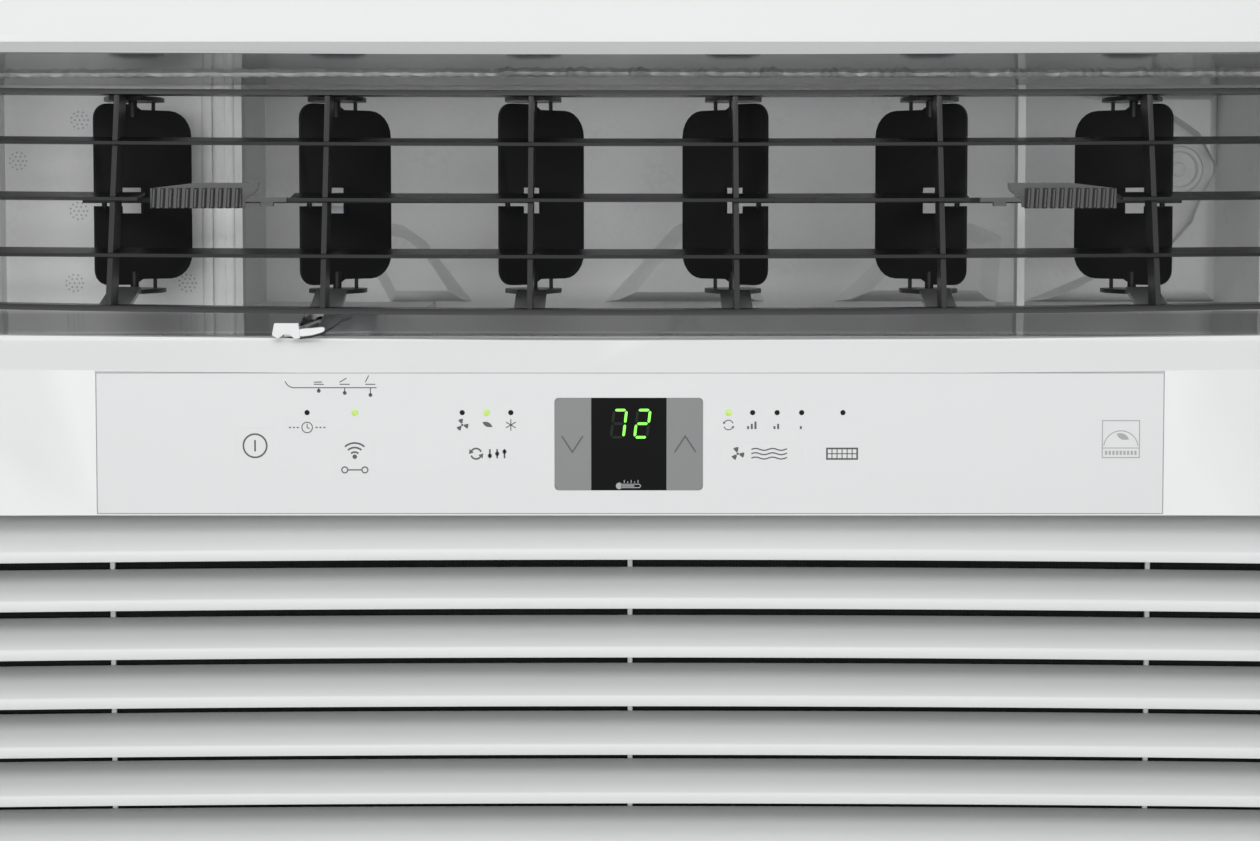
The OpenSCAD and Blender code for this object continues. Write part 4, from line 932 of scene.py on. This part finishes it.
# ---------------------------------------------------------------- duct behind the vanes
def build_duct_details():
    """Folded ribs, sloping guides, a boss and moulding pips in the foam duct, and a pale band above it."""
    low, high = 305.3 * MM, 413.3 * MM
    folds = Shape()
    for x, r, y in ((-194.5, 2.4, -167.0), (-199.5, 3.2, -167.3), (-205.5, 2.6, -167.0)):
        ring = [(x * MM + r * MM * math.cos(a), y * MM + 0.55 * r * MM * math.sin(a))
                for a in turns(24)]
        folds.loft([[(px, py, z) for px, py in ring] for z in (low, high)])
    folds.make("duct_folds", FOAM_GREY, "cabinet", "duct_foam", (), 60)

    guides = Shape()
    rear = -86.4 * MM

    def ramp(points, front, back=rear):
        """A raised land of the moulding, its front edge sloped all round."""
        middle_x = sum(p[0] for p in points) / len(points)
        middle_z = sum(p[1] for p in points) / len(points)
        rings = []
        for y, grow in ((front, 0.72), (front + 2.5 * MM, 0.84), (front + 7 * MM, 0.94), (back, 1.12)):
            rings.append([((middle_x + (x - middle_x) * grow) * MM, y,
                           max(low, min(high, (middle_z + (z - middle_z) * grow) * MM))) for x, z in points])
        guides.loft(rings)

    ramp([(-124, 305.3), (-86, 305.3), (-97, 322), (-108, 336), (-118, 343), (-130, 345), (-136, 330)],
         -98 * MM)
    ramp([(-8, 305.3), (66, 305.3), (60, 320), (46, 333), (30, 345), (24, 342), (6, 322)], -101 * MM)
    ramp([(112, 305.3), (188, 305.3), (190, 338), (176, 344), (152, 341), (134, 328)], -98 * MM)
    ramp([(214, 305.3), (303.6, 305.3), (303.6, 372), (296, 352), (280, 334), (246, 322)], -100 * MM)
    ramp([(232, 413.3), (303.6, 413.3), (303.6, 376), (296, 390), (276, 404)], -104 * MM)
    guides.make("duct_guides", FOAM_GREY, "cabinet", "duct_foam", (), 40)

    boss = Shape()
    boss_x, boss_z, boss_scale = 285 * MM, 374 * MM, 0.72
    rings = []
    for r, y in ((17, -86.3), (17, -92), (15.8, -93.2), (13.4, -93.2), (12.4, -92.2), (12.4, -89.5),
                 (5.5, -89.5), (5, -91), (4, -91.4)):
        rings.append([(px, y * MM, pz) for px, pz in circle_points(boss_x, boss_z, boss_scale * r * MM, 36)])
    boss.loft(rings)
    boss.make("duct_boss", FOAM_GREY, "cabinet", "duct_foam", (), 50)

    # The pips take a darker grey: painted shade standing for the hollows of the dimples.
    pips = Shape()
    face = -166.03 * MM
    for x, z in ((-267.5, 396.5), (-297.7, 376.7), (-268.4, 352.4), (-270.9, 317.3), (-215.8, 317.3)):
        x, z = x * MM, z * MM
        for px, pz in circle_points(x, z, 4.1 * MM, 11) + circle_points(x, z, 2.3 * MM, 6) + [(x, z)]:
            pips.loft([[(qx, face - h * MM, qz) for qx, qz in circle_points(px, pz, r * MM, 8)]
                       for r, h in ((0.5, 0.0), (0.42, 0.12), (0.2, 0.18))])
    pips.make("duct_pips", FOAM_PIT_SHADE, "cabinet", "duct_foam", (), 60)

    # pale band, frayed along both edges, across the roof of the recess
    roof_band = Shape()
    roof_front, roof_rear = (-261.5, 422.1), (-178, 412.9)
    slope = (roof_front[1] - roof_rear[1]) / (roof_front[0] - roof_rear[0])

    def roof(y):
        return roof_front[1] + slope * (y - roof_front[0])

    rings = []
    for x in stations(-306 * MM, 306 * MM, 320):
        rough = 0.5 + 0.5 * math.sin(x * 310) * math.sin(x * 97 + 1.3)
        fray = math.sin(x * 1330 + 2 * math.sin(x * 410)) * (0.3 + 0.7 * rough)
        wide = (5.5 + 3.0 * rough + 1.2 * fray) * (0.55 if x < -60 * MM else 1.0)
        middle = -207.5 + 1.5 * math.sin(x * 13)
        front, rear = middle - wide, middle + 0.8 * wide
        rings.append([(x, y * MM, (roof(y) - h) * MM) for y, h in
                      ((front, 0.05), (rear, 0.05), (rear - 0.3, 0.5), (middle, 1.6 + 0.3 * fray),
                       (front + 0.6, 1.9 + 0.5 * fray), (front, 1.5 + 0.5 * fray))])
    roof_band.loft(rings)
    roof_band.make("pale_roof_strip", PALE_ROOF_BAND, "cabinet", "strip_plastic", (), 50)


def build_vent_arm():
    """White arm beside the vent tab and the thin dark wire that runs up from it."""
    arm = Shape()
    rings = []
    for x, z_low, z_high in ((-145.4, 297.2, 300.6), (-143, 297.3, 300.9), (-139, 297.8, 301.2),
                             (-135, 299.0, 301.6), (-134, 299.8, 301.2)):
        rings.append([(x * MM, y * MM, z * MM) for y, z in
                      ((-280.6, z_low + 0.3), (-280.2, z_low), (-278.9, z_low), (-278.6, z_low + 0.3),
                       (-278.6, z_high - 0.3), (-278.9, z_high), (-280.2, z_high), (-280.6, z_high - 0.3))])
    arm.loft(rings)
    arm.make("vent_arm", BEZEL_WHITE, "vent_control", "bezel_plastic", (), 50)

    wire = Shape()
    path = [(-145, 296.6), (-140, 297.2), (-135, 298.6), (-130, 301.6), (-126, 304.4), (-122, 305.6)]
    wire_y, wire_r = -280.3, 0.45
    rings = []
    for x, z in path:
        rings.append([(x * MM, (wire_y + wire_r * math.cos(a)) * MM, (z + wire_r * math.sin(a)) * MM)
                      for a in turns(10)])
    wire.loft(rings)
    wire.make("vent_wire", LOUVER_DARK, "vent_control", "louver_plastic", (), 60)


# ---------------------------------------------------------------- coils, vents and screws
def build_fin_pack(name, node, pitch, thick):
    """Thin upright fins in place of the CAD coil's broad ones."""
    low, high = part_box(node)
    shape = Shape()
    count = int((high.x - low.x) / pitch)
    middle_y = (low.y + high.y) / 2
    for i in range(count):
        x = low.x + i * pitch
        wave = 0.25 * MM * math.sin(i * 1.7)
        outline = [(x, low.y), (x + thick, low.y), (x + thick + wave, middle_y), (x + thick, high.y),
                   (x, high.y), (x + wave, middle_y)]
        shape.loft([[(px, py, z) for px, py in outline] for z in (low.z + 1 * MM, high.z - 1 * MM)])
    rows = 16
    pipe_r = 4 * MM
    for i in range(rows):
        z = low.z + (high.z - low.z) * (i + 0.5) / rows
        for y in (low.y + (high.y - low.y) * 0.27, low.y + (high.y - low.y) * 0.73):
            ring = [(y + pipe_r * math.cos(a), z + pipe_r * math.sin(a)) for a in turns(12)]
            shape.sweep_x(ring, [low.x + 0.5 * MM, high.x - 0.5 * MM])
    shape.make(name, FIN_ALUMINIUM, "cabinet", "fin_aluminium", (node,), 40)


def build_vent_hoods():
    """Pressed hoods over the side slots."""
    shape = Shape()
    low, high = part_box("cabinet_wrap")
    for s in (-1, 1):
        skin = high.x if s > 0 else low.x
        for i in range(2):
            for j in range(12):
                y0, y1 = (i * 75 + 48) * MM, (i * 75 + 112) * MM
                z = (146 + j * 20) * MM
                rings = []
                for k in range(13):
                    t = k / 12
                    y = y0 + (y1 - y0) * t
                    swell = min(1.0, 4.5 * min(t, 1 - t)) ** 0.6 + 0.02
                    out = 2.6 * MM * swell
                    section = [(0, 2.2), (0.35, 2.0), (0.8, 0.8), (1.0, -2.4), (0.75, -3.2), (0.55, -3.0),
                               (0.75, -2.2), (0.5, 0.4), (0.15, 1.2), (-0.05, 1.4)]
                    rings.append([(skin + s * (out * a - 0.1 * MM), y, z + b * MM * (0.4 + 0.6 * swell))
                                  for a, b in section])
                shape.loft(rings)
    shape.make("side_vent_hoods", SHEET_GREY, "cabinet", "steel_sheet", (), 50)


def screw_head(shape, at, axis, r=4.0 * MM):
    """A domed screw head with a cross recess, standing out along axis."""
    turn = Vector((0, 0, 1)).rotation_difference(Vector(axis)).to_matrix()
    at = Vector(at)
    rings = []
    for radius, height in ((1.0, 0.0), (1.0, 0.25), (0.93, 0.42), (0.75, 0.52), (0.55, 0.57)):
        rings.append([at + turn @ Vector((r * radius * math.cos(a), r * radius * math.sin(a), r * height))
                      for a in turns(24)])
    for depth, reach, waist in ((0.57, 0.5, 0.13), (0.3, 0.4, 0.1)):
        ring = []
        for a in turns(24):
            along = max(abs(math.cos(a)), abs(math.sin(a)))
            across = min(abs(math.cos(a)), abs(math.sin(a)))
            radius = min(reach, waist / max(across, 0.05)) if along > 0.8 else waist * 1.5
            ring.append(at + turn @ Vector((r * radius * math.cos(a), r * radius * math.sin(a), r * depth)))
        rings.append(ring)
    shape.loft([[tuple(v) for v in ring] for ring in rings])


def build_screws():
    """Three heads on each side of the cabinet and one on each end of the top rail."""
    shape = Shape()
    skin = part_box("cabinet_wrap")[1].x
    side_z = 18 * MM
    rail_x, rail_y, rail_top = 230 * MM, -150 * MM, 442.5 * MM
    for s in (-1, 1):
        for y in (-195 * MM, 20 * MM, 265 * MM):
            screw_head(shape, (s * skin, y, side_z), (s, 0, 0))
        screw_head(shape, (s * rail_x, rail_y, rail_top), (0, 0, 1), 3.6 * MM)
    shape.make("screw_heads", STEEL, "cabinet", "steel_shaft", ("cabinet_screws",), 50)


# ---------------------------------------------------------------- build
build_stage()
for subpart in frame["record"]["subparts"]:
    paint(subpart["node"], SLOT_MATERIALS[subpart["material_slot"]])
paint("discharge_housing", HOUSING_DARK)
for name in ("left_link", "right_link"):
    paint(name, LOUVER_DARK)
build_bezel()
build_cassette()
build_door()
build_tabs()
build_keys()
build_marks()
build_lamps()
build_display()
build_duct_details()
build_vent_arm()
for coil in ("condenser", "evaporator"):
    build_fin_pack(coil + "_fin_pack", coil + "_fins", 2.0 * MM, 0.25 * MM)
build_vent_hoods()
build_screws()

SOFT_EDGES = {
    0.5: ("vent_lever", "top_rail"),
    0.25: ("vane_left_outer", "vane_left_middle", "vane_left_inner", "vane_right_inner", "vane_right_middle",
           "vane_right_outer", "left_link", "right_link"),
    0.6: ("cabinet_wrap", "base_pan", "rear_guard", "discharge_housing", "cord_gland", "control_box"),
    1.2: ("fan_motor", "compressor", "compressor_feet", "fan_shroud", "motor_bracket"),
}
for width, names in SOFT_EDGES.items():
    for name in names:
        soften(NODES[name], width * MM)
